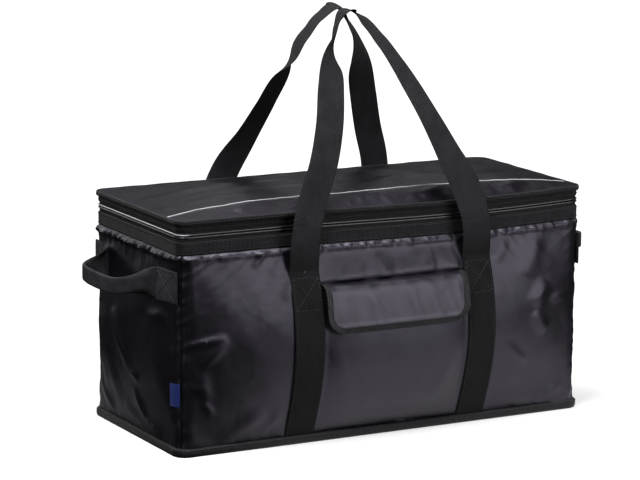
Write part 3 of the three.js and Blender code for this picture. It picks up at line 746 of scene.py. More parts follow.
@dataclass(frozen=True)
class BagForm:
    """Sizes and curves of the whole bag, shared by its sub-assemblies."""

    half_length: float = 325 * MM
    half_depth: float = 140 * MM
    seam_height: float = 13 * MM
    zip_height: float = 313 * MM
    front_sag: float = 3.0 * MM
    front_sag_lean: float = 1.8 * MM
    corner_radius: float = 14 * MM
    front_belly: float = 36 * MM
    back_belly: float = 24 * MM
    end_belly: float = 15 * MM
    band_drop: float = 27 * MM
    gap: float = 0.3 * MM
    fabric: float = 1.2 * MM
    foam: float = 6 * MM
    liner: float = 0.8 * MM
    web_thickness: float = 2 * MM
    web_width: float = 46 * MM
    strap_spacing: float = 280 * MM
    wall_top_drop: float = 11.9 * MM
    skirt_top: float = 20 * MM
    crest_rise: float = 13 * MM
    crest_setback: float = 42 * MM
    lid_dome: float = 3 * MM

    @property
    def straight_x(self) -> float:
        """Half the straight run of a long wall."""
        return self.half_length - self.corner_radius

    @property
    def straight_y(self) -> float:
        """Half the straight run of an end wall."""
        return self.half_depth - self.corner_radius

    def rim(self, x: Array, y: Array) -> Array:
        """Height of the zip's line: level, but lower along the front by a parabola and a sine.

        The parabola is deepest in the middle, and the sine's one full turn moves the sag
        towards the right.
        """
        share = np.clip(x / self.straight_x, -1, 1)
        sag = self.front_sag * (1 - share**2) + self.front_sag_lean * np.sin(math.pi * share)
        return self.zip_height - np.where(y < -self.straight_y, sag, 0)

    def swell(self, most: float, along: Array, z: Array, rim: Array) -> Array:
        """How far a wall swells: most, times 1 - along^4, times a half sine of the height."""
        share = np.clip((z - self.seam_height) / (rim - self.band_drop - self.seam_height), 0, 1)
        return most * (1 - np.minimum(1, np.abs(along)) ** 4) * np.sin(math.pi * share)

    def front_y(self, x: Array, z: Array, out: Array | float) -> Array:
        """The front wall's depth at a place, standing off by out."""
        rim = self.rim(x, np.full_like(x, -self.half_depth))
        return -self.half_depth - self.swell(self.front_belly, x / self.straight_x, z, rim) - out

    def back_y(self, x: Array, z: Array, out: Array | float) -> Array:
        """The back wall's depth at a place, standing off by out."""
        swell = self.swell(self.back_belly, x / self.straight_x, z, np.full_like(x, self.zip_height))
        return self.half_depth + swell + out

    def lid_top(self, x: Array, y: Array) -> Array:
        """Height of the lid: a quarter sine up to a crest, then down gently to the back."""
        edge = self.skirt_top + self.gap + self.fabric
        share = np.clip((y + self.half_depth) / (2 * self.half_depth), 0, 1)
        across = 1 - np.minimum(1, np.abs(x) / self.half_length) ** 4
        front = self.rim(x, np.full_like(x, -self.half_depth)) + edge
        back = self.zip_height + edge
        crest = back + self.crest_rise * across
        crest_share = self.crest_setback / (2 * self.half_depth)
        rise = front + (crest - front) * np.sin(np.clip(share / crest_share, 0, 1) * math.pi / 2)
        rest = np.clip((share - crest_share) / (1 - crest_share), 0, 1)
        fall = crest + (back - crest) * rest**1.5 + self.lid_dome * across * np.sin(math.pi * rest)
        return np.where(share < crest_share, rise, fall)


FORM = BagForm()


@dataclass
class Line:
    """Stations round the bag: plan places, outward directions, share along the wall, and run."""

    base: Array
    normal: Array
    along: Array
    run: Array
    most: Array

    @property
    def up(self) -> Array:
        """The upward direction at each station."""
        return np.tile([0.0, 0.0, 1.0], (len(self.base), 1))

    def out(self) -> Array:
        """The outward direction at each station, with no height."""
        return np.concatenate([self.normal, np.zeros((len(self.normal), 1))], axis=1)


def wall_line(side: Side, spacing: float, corner_steps: int = 6) -> Line:
    """Stations of one wall, from the middle of one corner to the middle of the next.

    Along the wall they are evenly spaced, and round each half corner they turn by equal
    angles about the corner's centre.
    """
    normal = np.array(side.value, float)
    tangent = np.array([-normal[1], normal[0]])
    long = side in (Side.FRONT, Side.BACK)
    half = FORM.straight_x if long else FORM.straight_y
    reach = FORM.half_depth if long else FORM.half_length
    most = {Side.FRONT: FORM.front_belly, Side.BACK: FORM.back_belly}.get(side, FORM.end_belly)
    turn = np.linspace(0, math.pi / 4, corner_steps + 1)
    places = np.linspace(-half, half, max(3, round(2 * half / spacing)))
    angle = np.concatenate([-turn[:0:-1], np.zeros(len(places)), turn[1:]])
    place = np.concatenate([np.full(corner_steps, -half), places, np.full(corner_steps, half)])
    facing = np.cos(angle)[:, None] * normal + np.sin(angle)[:, None] * tangent
    base = place[:, None] * tangent + (reach - FORM.corner_radius) * normal + FORM.corner_radius * facing
    run = run_of(base)
    return Line(base, facing, place / half, run - run[-1] / 2, np.full(len(run), most))


def rim_line(spacing: float, open_back: bool = False) -> Line:
    """Stations round the whole rim, or round all of it but the straight of the back."""
    order = [Side.BACK, Side.LEFT, Side.FRONT, Side.RIGHT]
    lines = [wall_line(side, spacing) for side in order]
    joined = [
        np.concatenate([getattr(line, name)[:-1] for line in lines]) for name in ("base", "normal", "along", "most")
    ]
    base, normal, along, most = joined
    if open_back:
        back = len(lines[0].base) - 1
        corner = 6
        cut = np.concatenate([np.arange(back - corner, len(base)), np.arange(0, corner + 1)])
        base, normal, along, most = base[cut], normal[cut], along[cut], most[cut]
    return Line(base, normal, along, run_of(base), most)


def ring_run(line: Line, ring: bool) -> Array:
    """UV places along a line, with the closing step added for a ring."""
    if not ring:
        return line.run
    last = np.linalg.norm(line.base[0] - line.base[-1])
    return np.append(line.run, line.run[-1] + last)


def rim_band(
    name: str, line: Line, offset: Array, rise: Array, width: float, thickness: float, ring: bool, columns: int = 9
) -> bpy.types.Object:
    """A flat band carried round the rim.

    Args:
        name: the piece's name.
        line: stations round the rim.
        offset: how far the band's middle stands out at each station.
        rise: its middle's height above the zip's line.
        width: its height.
        thickness: its thickness.
        ring: whether it closes on itself.
        columns: points across its height.

    Returns:
        The new object.
    """
    z = FORM.rim(line.base[:, 0], line.base[:, 1]) + rise
    centre = np.concatenate([line.base + line.normal * offset[:, None], z[:, None]], axis=1)
    count = len(centre)
    outer, inner = ribbon(centre, line.up, line.out(), np.full(count, width), np.full(count, thickness), columns)
    place, _ = lens(columns)
    return sheet_piece(name, outer, inner, ring_run(line, ring), place * width / 2, ring)


def waves(at: Array, lengths: tuple[float, ...], seed: int) -> Array:
    """A sum of sines of the given wavelengths, each with its own fixed phase, within -1 and 1."""
    phases = np.random.default_rng(seed).uniform(0, 2 * math.pi, len(lengths))
    parts = [np.sin(2 * math.pi * at / length + phase) for length, phase in zip(lengths, phases)]
    return sum(parts) / len(lengths)


def creases(at: Array, lengths: tuple[float, ...], seed: int) -> Array:
    """Sharp uneven ridges from 0 to 1: the square of 1 - |waves|, which peaks at each crossing."""
    return (1 - np.abs(waves(at, lengths, seed))) ** 2.5


@dataclass(frozen=True)
class Fold:
    """A crease or soft fold on a wall.

    Start and end are millimetres along the wall from its middle, as seen from outside with
    the right hand positive, and millimetres above the floor.
    """

    start: tuple[float, float]
    end: tuple[float, float]
    height: float
    width: float
    lean: float = 0.0


def fold_relief(along: Array, z: Array, folds: tuple[Fold, ...]) -> Array:
    """The height of all folds at places on a wall, in metres.

    Each is a bell curve across its line, leaning to one side, times a rise and fall along
    its length: height * exp(-(d / width)^2) * (1 + lean * tanh(d / width)) * sin(pi t)^0.7.
    """
    total = np.zeros_like(z)
    s = along / MM
    h = z / MM
    for fold in folds:
        a = np.array(fold.start)
        b = np.array(fold.end)
        length = float(np.linalg.norm(b - a))
        way = (b - a) / length
        t = ((s - a[0]) * way[0] + (h - a[1]) * way[1]) / length
        d = ((s - a[0]) * -way[1] + (h - a[1]) * way[0]) / fold.width
        taper = np.sin(math.pi * np.clip(t, 0, 1)) ** 0.7
        total += fold.height * taper * np.exp(-(d**2)) * (1 + fold.lean * np.tanh(d))
    return total * MM


# Folds read off the photograph, by wall.
FRONT_FOLDS = (
    Fold((-108, 285), (-150, 240), 2.2, 7, 0.4),
    Fold((-118, 288), (-175, 215), 1.8, 9, -0.3),
    Fold((-150, 292), (-190, 250), 1.5, 7),
    Fold((-190, 292), (-215, 262), 1.3, 6),
    Fold((-318, 160), (-262, 172), 2.6, 5, -0.6),
    Fold((-262, 168), (-300, 128), 2.4, 8, 0.5),
    Fold((-300, 128), (-285, 70), 1.6, 9),
    Fold((-296, 78), (-278, 58), 2.2, 4, 0.5),
    Fold((-312, 100), (-286, 96), 1.4, 4),
    Fold((-262, 14), (-196, 52), 3.2, 14, 0.4),
    Fold((-205, 16), (-172, 52), 2.2, 10),
    Fold((262, 292), (226, 210), 2.4, 16, -0.4),
    Fold((238, 165), (262, 200), 3.0, 12, 0.5),
    Fold((236, 160), (262, 128), 2.8, 12, -0.5),
    Fold((300, 178), (268, 172), 1.8, 6),
    Fold((176, 118), (226, 78), 2.2, 9, 0.4),
    Fold((176, 34), (262, 18), 2.4, 9),
    Fold((250, 18), (300, 44), 2.2, 10, -0.4),
    Fold((200, 278), (170, 236), 1.6, 10),
    Fold((-40, 26), (60, 20), 1.6, 9),
)
LEFT_FOLDS = (
    Fold((-122, 190), (-78, 30), 2.6, 15, 0.4),
    Fold((-96, 178), (-40, 20), 2.0, 16, -0.4),
    Fold((-56, 178), (0, 96), 3.0, 10, 0.5),
    Fold((0, 98), (28, 90), 2.2, 6, 0.4),
    Fold((8, 74), (42, 26), 2.2, 7, 0.5),
    Fold((40, 34), (84, 16), 3.0, 5, 0.6),
    Fold((-118, 60), (-70, 18), 2.6, 9),
    Fold((-30, 40), (30, 16), 1.8, 10),
    Fold((60, 190), (112, 200), 1.8, 8),
    Fold((-110, 250), (-60, 262), 1.4, 9),
)
BACK_FOLDS = (
    Fold((-250, 250), (-180, 180), 2.4, 14, 0.3),
    Fold((240, 240), (180, 150), 2.6, 16, -0.3),
    Fold((-60, 210), (40, 180), 1.8, 18),
    Fold((-260, 60), (-190, 24), 2.4, 10),
    Fold((220, 60), (150, 22), 2.2, 11),
    Fold((-70, 40), (80, 26), 1.8, 12),
    Fold((300, 150), (250, 120), 2.0, 9),
    Fold((-300, 140), (-256, 160), 2.0, 8),
)
RIGHT_FOLDS = (
    Fold((-100, 190), (-50, 60), 2.6, 14, 0.4),
    Fold((110, 180), (40, 40), 2.4, 15, -0.3),
    Fold((-30, 150), (30, 110), 1.8, 14),
    Fold((-104, 50), (-40, 18), 2.4, 9),
    Fold((100, 60), (50, 20), 2.2, 9),
)


@dataclass
class Walls:
    """The four outer walls, the foam behind them and the cold space's lining."""

    finishes: Finishes
    spacing: float = 3.2 * MM
    bottom: float = 0.3 * MM
    groove: float = 1.8 * MM
    groove_width: float = 1.6 * MM
    roll: float = 3.6 * MM
    roll_width: float = 15 * MM
    pucker: float = 2.2 * MM
    flap_seam: float = 232 * MM
    growth: float = 0.028
    gather: float = 0.05
    cap: float = 8 * MM
    lip_drop: float = 6 * MM
    fold_gain: float = 1.6

    def relief(self, side: Side, line: Line, z: Array, drop: Array) -> Array:
        """How far the cloth stands off its plain swell before it relaxes, in metres.

        The sum of the wall's folds, the gathers under the band, which die away below it, and
        a slow waviness that gives the buckling somewhere to start.
        """
        folds = {
            Side.FRONT: FRONT_FOLDS,
            Side.LEFT: LEFT_FOLDS,
            Side.BACK: BACK_FOLDS,
            Side.RIGHT: RIGHT_FOLDS,
        }[side]
        run = np.broadcast_to(line.run[:, None], z.shape)
        made = self.fold_gain * fold_relief(run, z, folds)
        seed = list(Side).index(side) * 10 + 3
        end_wall = side in (Side.LEFT, Side.RIGHT)
        below = np.clip(drop, 0, None)
        edge = np.abs(line.run[-1]) - np.abs(run)
        loose = 0.3 + 0.7 * ease(edge / (24 * MM))
        fan = run * (1 - 0.25 * below / (60 * MM))
        tall = 13 * MM if end_wall else 8 * MM
        deep = 2.0 if end_wall else 1.0
        lip = (5.0 if end_wall else 2.6) * MM * np.exp(-(((below - self.lip_drop) / (0.6 * self.lip_drop)) ** 2))
        made += loose * lip * (0.4 + creases(run, (0.023, 0.037, 0.051), seed + 8))
        made += loose * self.pucker * deep * creases(run, (0.019, 0.031, 0.047), seed) * np.exp(-below / tall)
        made += self.pucker * creases(fan + 0.2 * below, (0.043, 0.067, 0.103), seed + 1) * np.exp(-below / (30 * MM))
        slant = z + np.where(run > 0, 0.6, -0.5) * edge
        made += 0.7 * self.pucker * creases(slant, (0.027, 0.049, 0.083), seed + 6) * np.exp(-edge / (15 * MM))
        foot = np.exp(-np.clip(z - FORM.seam_height, 0, None) / (14 * MM))
        made += 0.8 * self.pucker * creases(run + 0.7 * z, (0.029, 0.053, 0.083), seed + 4) * foot
        made += 0.6 * MM * waves(run * 1.0 + 0.6 * z, (0.053, 0.087, 0.141), seed + 2)
        made += 0.6 * MM * waves(z - 0.4 * run, (0.047, 0.083, 0.131), seed + 3)
        if side is Side.FRONT:
            made += self.flap_slack(run, z)
        return made

    def flap_slack(self, x: Array, z: Array) -> Array:
        """The front cloth's droop over the flap's seam: a quick rise above it that fades up."""
        above = np.clip(z - self.flap_seam, 0, None)
        across = ease((130 * MM - np.abs(x)) / (26 * MM))
        rise = (1 - np.exp(-above / (2.5 * MM))) * ease((40 * MM - above) / (38 * MM))
        slack = 1 + 0.35 * waves(x, (0.037, 0.061), 97)
        return 5.5 * MM * rise * across * slack

    def seam(self, side: Side, line: Line, z: Array, seed: int) -> Array:
        """The corner seam's groove, with a soft uneven roll of padding beside it."""
        edge = np.abs(line.run[:, None]) - np.abs(line.run[-1])
        made = -self.groove * np.exp(-((edge / self.groove_width) ** 2))
        fade = np.exp(-np.clip(-edge - self.roll_width, 0, None) / (3 * self.roll_width))
        roll = self.roll if side in (Side.FRONT, Side.BACK) else 0.25 * self.roll
        made = made + roll * ease(-edge / self.roll_width) * fade
        return made + 0.35 * MM * waves(z, (0.013, 0.021, 0.034), seed) * np.exp(-((edge / (9 * MM)) ** 2))

    def pins(self, side: Side, line: Line, z: Array, drop: Array) -> Array:
        """How firmly each point is held: at the seams, under the bands and along the straps."""
        edge = np.abs(line.run[-1]) - np.abs(np.broadcast_to(line.run[:, None], z.shape))
        held = np.maximum(ease(1 - edge / (5 * MM)), ease((FORM.seam_height + 4 * MM - z) / (5 * MM)))
        held = np.maximum(held, ease((2 * MM - drop) / (3 * MM)))
        if side in (Side.FRONT, Side.BACK):
            across = np.abs(np.abs(line.base[:, 0]) - FORM.strap_spacing / 2)[:, None]
            sewn = (np.abs(across - 20 * MM) < 2.1 * MM) & (z < 247 * MM)
            held = np.maximum(held, sewn * 1.0)
        if side is Side.FRONT:
            seam = (np.abs(z - self.flap_seam) < 3 * MM) & (np.abs(line.base[:, :1]) < 116 * MM)
            held = np.maximum(held, seam * 1.0)
        return held

    def cloth(self, side: Side, name: str, node: str) -> None:
        """One outer wall: its plain swell plus relief, as rows by height over its stations.

        The rows crowd towards the band: their shares are t + 0.4 sin(pi t) / pi.

        The cloth then relaxes between its seams, and where it went inwards, towards the
        foam, only a third of that is kept.
        """
        line = wall_line(side, self.spacing, 9)
        rim = FORM.rim(line.base[:, 0], line.base[:, 1])
        even = np.linspace(0, 1, 96)
        share = even + 0.4 * np.sin(math.pi * even) / math.pi
        top = rim - FORM.wall_top_drop
        z = self.bottom + (top - self.bottom)[:, None] * share
        drop = (rim - FORM.band_drop)[:, None] - z
        swell = FORM.swell(line.most[0], line.along[:, None], z, rim[:, None])
        free = ease((z - self.bottom) / (FORM.seam_height - self.bottom)) * ease((drop + 1 * MM) / (4 * MM))
        start = self.wall_grid(line, z, swell + self.relief(side, line, z, drop) * free)
        gathered = self.growth + self.gather * np.exp(-np.clip(drop, 0, None) / (30 * MM))
        settled = relax(name, start, self.pins(side, line, z, drop), gathered, self.cap)
        way = np.broadcast_to(line.out()[:, None], settled.shape)
        plain = self.wall_grid(line, z, swell)
        inwards = np.minimum(np.einsum("ijk,ijk->ij", settled - plain, way), 0)
        seed = list(Side).index(side) + 70
        outer = settled + way * (self.seam(side, line, z, seed) * free - inwards * 0.65)[..., None]
        made = sheet_piece(name, outer, outer - way * FORM.fabric, line.run, z.mean(axis=0))
        made.data.materials.append(self.finishes.shell)
        settle(made, "box", "shell", f"{node}_panel")

    def wall_grid(self, line: Line, z: Array, out: Array) -> Array:
        """Points standing off the plain wall by the given distances, at the given heights."""
        plan = line.base[:, None] + line.normal[:, None] * out[..., None]
        return np.concatenate([plan, z[..., None]], axis=-1)

    def stand(self, name: str, line: Line, z: Array, out: Array, back: Array) -> bpy.types.Object:
        """A sheet standing at two distances out of the plain wall."""
        outer = self.wall_grid(line, z, out)
        return sheet_piece(name, outer, self.wall_grid(line, z, back), line.run, z.mean(axis=0))

    def foam_sheet(self, side: Side, name: str, node: str) -> None:
        """One flat foam sheet behind a wall, following its swell and not its creases."""
        line = wall_line(side, 10 * MM)
        inside = np.abs(line.along) < 1
        inside |= np.isclose(np.abs(line.along), 1) & (np.abs(line.normal).max(axis=1) > 0.9999)
        keep = np.flatnonzero(inside)
        line = Line(line.base[keep], line.normal[keep], line.along[keep], line.run[keep], line.most[keep])
        rim = FORM.rim(line.base[:, 0], line.base[:, 1])
        bottom = 12.1 * MM
        z = bottom + (rim - FORM.wall_top_drop - bottom)[:, None] * np.linspace(0, 1, 30)
        swell = FORM.swell(line.most[0], line.along[:, None], z, rim[:, None])
        outer = swell - FORM.fabric - 1.4 * MM
        made = self.stand(name, line, z, outer, swell - FORM.fabric - FORM.gap - FORM.foam)
        made.data.materials.append(self.finishes.foam)
        settle(made, "box", "foam", f"{node}_foam")

    def lining_sheet(self, side: Side, name: str, node: str) -> None:
        """One wall of the lining: slack film with fine creases, turned out over the foam."""
        line = wall_line(side, 6 * MM)
        rim = FORM.rim(line.base[:, 0], line.base[:, 1])
        bottom = 13.2 * MM
        top = rim - FORM.wall_top_drop + 0.4 * MM
        z = bottom + (top - bottom)[:, None] * np.linspace(0, 1, 52)
        swell = FORM.swell(line.most[0], line.along[:, None], z, rim[:, None])
        run = np.broadcast_to(line.run[:, None], z.shape)
        creases = 0.7 * MM * waves(run + 0.5 * z, (0.037, 0.059, 0.101), 41)
        creases += 0.6 * MM * waves(z - 0.7 * run, (0.029, 0.071, 0.113), 43)
        held = np.sin(math.pi * np.clip((z - bottom) / (top - bottom)[:, None], 0, 1)) ** 0.5
        face = swell - 8.2 * MM - (creases + 1.0 * MM) * held
        turn = ease((z - (top - 7 * MM)[:, None]) / (7 * MM)) * 6.4 * MM
        made = self.stand(name, line, z, face + turn + 0.3 * MM, face + turn - 0.3 * MM)
        made.data.materials.append(self.finishes.lining)
        settle(made, "box", "lining", f"{node}_liner")

    def slab(self, name: str, inset: float, bottom: float, thickness: float, wavy: float = 0.0) -> bpy.types.Object:
        """A flat layer of the base inside the rounded outline, as a grid over its plan.

        Across the depth the rows run from -y to y, and each row reaches as far as the
        rounded corners let it, so the grid follows the outline.
        """
        radius = FORM.corner_radius - inset
        half_depth = FORM.half_depth - inset
        y = half_depth * np.sin(np.linspace(-math.pi / 2, math.pi / 2, 41))
        over = np.clip(np.abs(y) - FORM.straight_y, 0, radius)
        reach = FORM.straight_x + np.sqrt(np.maximum(radius**2 - over**2, (0.2 * MM) ** 2))
        share = np.linspace(-1, 1, 61)
        x = reach[:, None] * share
        ripple = wavy * waves(x + 0.3 * y[:, None], (0.061, 0.097, 0.141), 7) * (1 - np.abs(share) ** 6)
        low = np.stack([x, np.broadcast_to(y[:, None], x.shape), np.full_like(x, bottom) + ripple], axis=-1)
        high = low + np.array([0, 0, thickness])
        return sheet_piece(name, high, low, y, share * FORM.half_length)

    def build(self) -> None:
        """Walls, foam, lining and base, one by one."""
        for side in Side:
            node = side.name.lower()
            self.cloth(side, f"{node}_wall_cloth", node)
            self.foam_sheet(side, f"{node}_foam_sheet", node)
            self.lining_sheet(side, f"{node}_lining_film", node)
        base = self.slab("base_cloth", 1.5 * MM, 0.0, FORM.fabric)
        base.data.materials.append(self.finishes.shell)
        settle(base, "box", "shell", "base_panel")
        foam = self.slab("base_foam_sheet", 1.5 * MM, 5.8 * MM, FORM.foam)
        foam.data.materials.append(self.finishes.foam)
        settle(foam, "box", "foam", "base_foam")
        lining = self.slab("base_lining_film", 7.8 * MM, 12.4 * MM, 0.6 * MM, 0.25 * MM)
        lining.data.materials.append(self.finishes.lining)
        settle(lining, "box", "lining", "base_liner")
        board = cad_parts["base_board"]
        board.data.materials.clear()
        board.data.materials.append(self.finishes.board)


@dataclass
class Edges:
    """The bands round the bag: the base binding, the mouth band, the zip and the rear hinge."""

    finishes: Finishes
    spacing: float = 5 * MM
    tooth: float = 3.2 * MM

    def band(self, name: str, low: float, high: float, inner: float, outer: float, seed: int) -> bpy.types.Object:
        """A closed grosgrain band between two heights and two offsets, gently uneven."""
        line = rim_line(self.spacing)
        uneven = 0.35 * MM * waves(line.run, (0.031, 0.053, 0.089), seed)
        middle = (inner + outer) / 2
        offset = np.full(len(line.run), middle) + np.clip(uneven, -0.2 * MM, 0.4 * MM)
        rise = (low + high) / 2 + 0.3 * MM * waves(line.run, (0.047, 0.083), seed + 1)
        return rim_band(name, line, offset, rise, high - low, outer - inner, True, 11)

    def sew_round(self, seams: Seams, rise: float, offset: float) -> None:
        """One row of stitches right round the rim."""
        line = rim_line(self.spacing)
        z = FORM.rim(line.base[:, 0], line.base[:, 1]) + rise
        points = np.concatenate([line.base + line.normal * offset, z[:, None]], axis=1)
        seams.sew(points, line.out())

    def binding_foot(self) -> None:
        """The bound seam round the foot: a rounded tape folded over the seam.

        Its section is a half oval from the floor to the seam's top, deepest below the
        middle, carried round the bag's outline.
        """
        line = rim_line(self.spacing)
        angle = np.linspace(-math.pi / 2, math.pi / 2, 15)
        height = FORM.seam_height / 2 * (1 + np.sin(angle))
        height[0] = 0.0
        bulge = 0.3 * MM + 6.2 * MM * np.cos(angle) ** 0.45
        uneven = 0.3 * MM * waves(line.run, (0.023, 0.041, 0.067), 21)
        reach = bulge[None, :] + uneven[:, None] * np.cos(angle) ** 0.5
        plan = line.base[:, None] + line.normal[:, None] * reach[..., None]
        z = np.broadcast_to(height, reach.shape)
        outer = np.concatenate([plan, z[..., None]], axis=-1)
        back = line.base[:, None] + line.normal[:, None] * (0.25 * MM)
        inner = np.concatenate([np.broadcast_to(back, plan.shape), z[..., None]], axis=-1)
        made = sheet_piece("base_binding_tape", outer, inner, ring_run(line, True), run_of(outer[0]), True)
        made.data.materials.append(self.finishes.grosgrain)
        settle(made, "box", "webbing", "base_binding")
        seams = Seams("base_binding_stitches")
        z_line = np.full(len(line.base), 10.4 * MM)
        on_tape = 0.3 * MM + 6.2 * MM * math.cos(math.asin(10.4 / 6.5 - 1)) ** 0.45
        points = np.concatenate([line.base + line.normal * on_tape, z_line[:, None]], axis=1)
        seams.sew(points, unit(line.out() + 0.6 * line.up))
        settle(seams.make(self.finishes.thread), "box", "webbing")

    def coil(self, name: str, low: float, high: float, body: str, node: str) -> None:
        """Half a zip's nylon coil, as an oval rod that swells at each tooth.

        Its section is an oval, and its radius follows a raised sine with one crest a tooth.
        """
        line = rim_line(1.1 * MM, True)
        z = FORM.rim(line.base[:, 0], line.base[:, 1]) + (low + high) / 2
        centre = np.concatenate([line.base + line.normal * 0.8 * MM, z[:, None]], axis=1)
        bumps = 0.5 + 0.5 * np.sin(2 * math.pi * line.run / self.tooth)
        radius = (high - low) / 2 * (0.72 + 0.28 * bumps)
        flat = 0.75
        outer, inner = round_rod(centre, line.up, line.out() * flat, radius, 8)
        angle = np.linspace(0, 3 * MM, outer.shape[1])
        made = sheet_piece(name, outer, inner, line.run, angle)
        # The lid's half of the coil takes the finish with the painted highlight on the left end.
        made.data.materials.append(self.finishes.coil if body == "box" else self.finishes.coil_painted_highlight)
        settle(made, body, "zip", node)

    def tape(self, name: str, low: float, high: float, body: str, node: str) -> None:
        """Half the zip's tape, on the inner side of the coil."""
        line = rim_line(self.spacing, True)
        offset = np.full(len(line.run), -0.75 * MM)
        made = rim_band(name, line, offset, np.full(len(line.run), (low + high) / 2), high - low, 0.9 * MM, False, 5)
        made.data.materials.append(self.finishes.tape)
        settle(made, body, "zip", node)

    def hinge(self) -> None:
        """The cloth that the lid turns back on, from the band's top up to the skirt."""
        x = np.linspace(-310 * MM, 310 * MM, 90)
        z = np.linspace(303 * MM, 321.5 * MM, 11)
        ruck = 0.25 * MM * waves(x, (0.019, 0.043), 31)
        y = 139.4 * MM + ruck[:, None] + 0.35 * MM * np.sin(np.linspace(0, math.pi, len(z)))
        grid = np.stack([np.broadcast_to(x[:, None], y.shape), y, np.broadcast_to(z, y.shape)], axis=-1)
        made = sheet_piece("hinge_cloth", grid, grid - np.array([0, 0.8 * MM, 0]), x, z)
        made.data.materials.append(self.finishes.grosgrain)
        bend(made, ("box", "lid"), (0, 0.1395, 0.3085), (0, 0.1395, 0.3175), "webbing", "hinge_tape")

    def build(self) -> None:
        """All bands that ride on the box, and both halves of the zip."""
        mouth = self.band("mouth_band_tape", -27 * MM, -8 * MM, 0.3 * MM, 1.7 * MM, 11)
        mouth.data.materials.append(self.finishes.grosgrain)
        settle(mouth, "box", "webbing", "mouth_band")
        seams = Seams("mouth_band_stitches")
        self.sew_round(seams, -24.5 * MM, 1.8 * MM)
        self.sew_round(seams, -10.5 * MM, 1.8 * MM)
        settle(seams.make(self.finishes.thread), "box", "webbing")
        self.binding_foot()
        self.tape("lower_zip_cloth", -11.6 * MM, -0.6 * MM, "box", "lower_zip_tape")
        self.tape("upper_zip_cloth", 0.6 * MM, 11.6 * MM, "lid", "upper_zip_tape")
        self.coil("lower_zip_teeth", -3.2 * MM, -0.6 * MM, "box", "lower_zip_coil")
        self.coil("upper_zip_teeth", 0.6 * MM, 3.2 * MM, "lid", "upper_zip_coil")
        self.hinge()


# Folds on the lid, in millimetres from the bag's middle: x, then depth.
LID_FOLDS = (
    Fold((-290, 20), (-40, 60), 2.4, 12, 0.3),
    Fold((-280, -18), (-60, -8), 2.6, 11, -0.3),
    Fold((-300, -60), (-150, -30), 2.0, 12),
    Fold((-40, 10), (120, 70), 2.2, 20, 0.3),
    Fold((40, -40), (150, 20), 2.4, 16, -0.4),
    Fold((150, -60), (290, 10), 2.4, 16, 0.3),
    Fold((180, 60), (300, 90), 2.0, 14),
    Fold((-130, 100), (60, 110), 1.8, 14),
    Fold((-262, -128), (-170, -104), 1.8, 8),
    Fold((-150, -132), (-96, -104), 2.0, 8, 0.4),
    Fold((-60, -130), (10, -106), 1.6, 9),
    Fold((60, -128), (120, -106), 1.8, 9),
    Fold((190, -130), (250, -106), 1.8, 9),
)


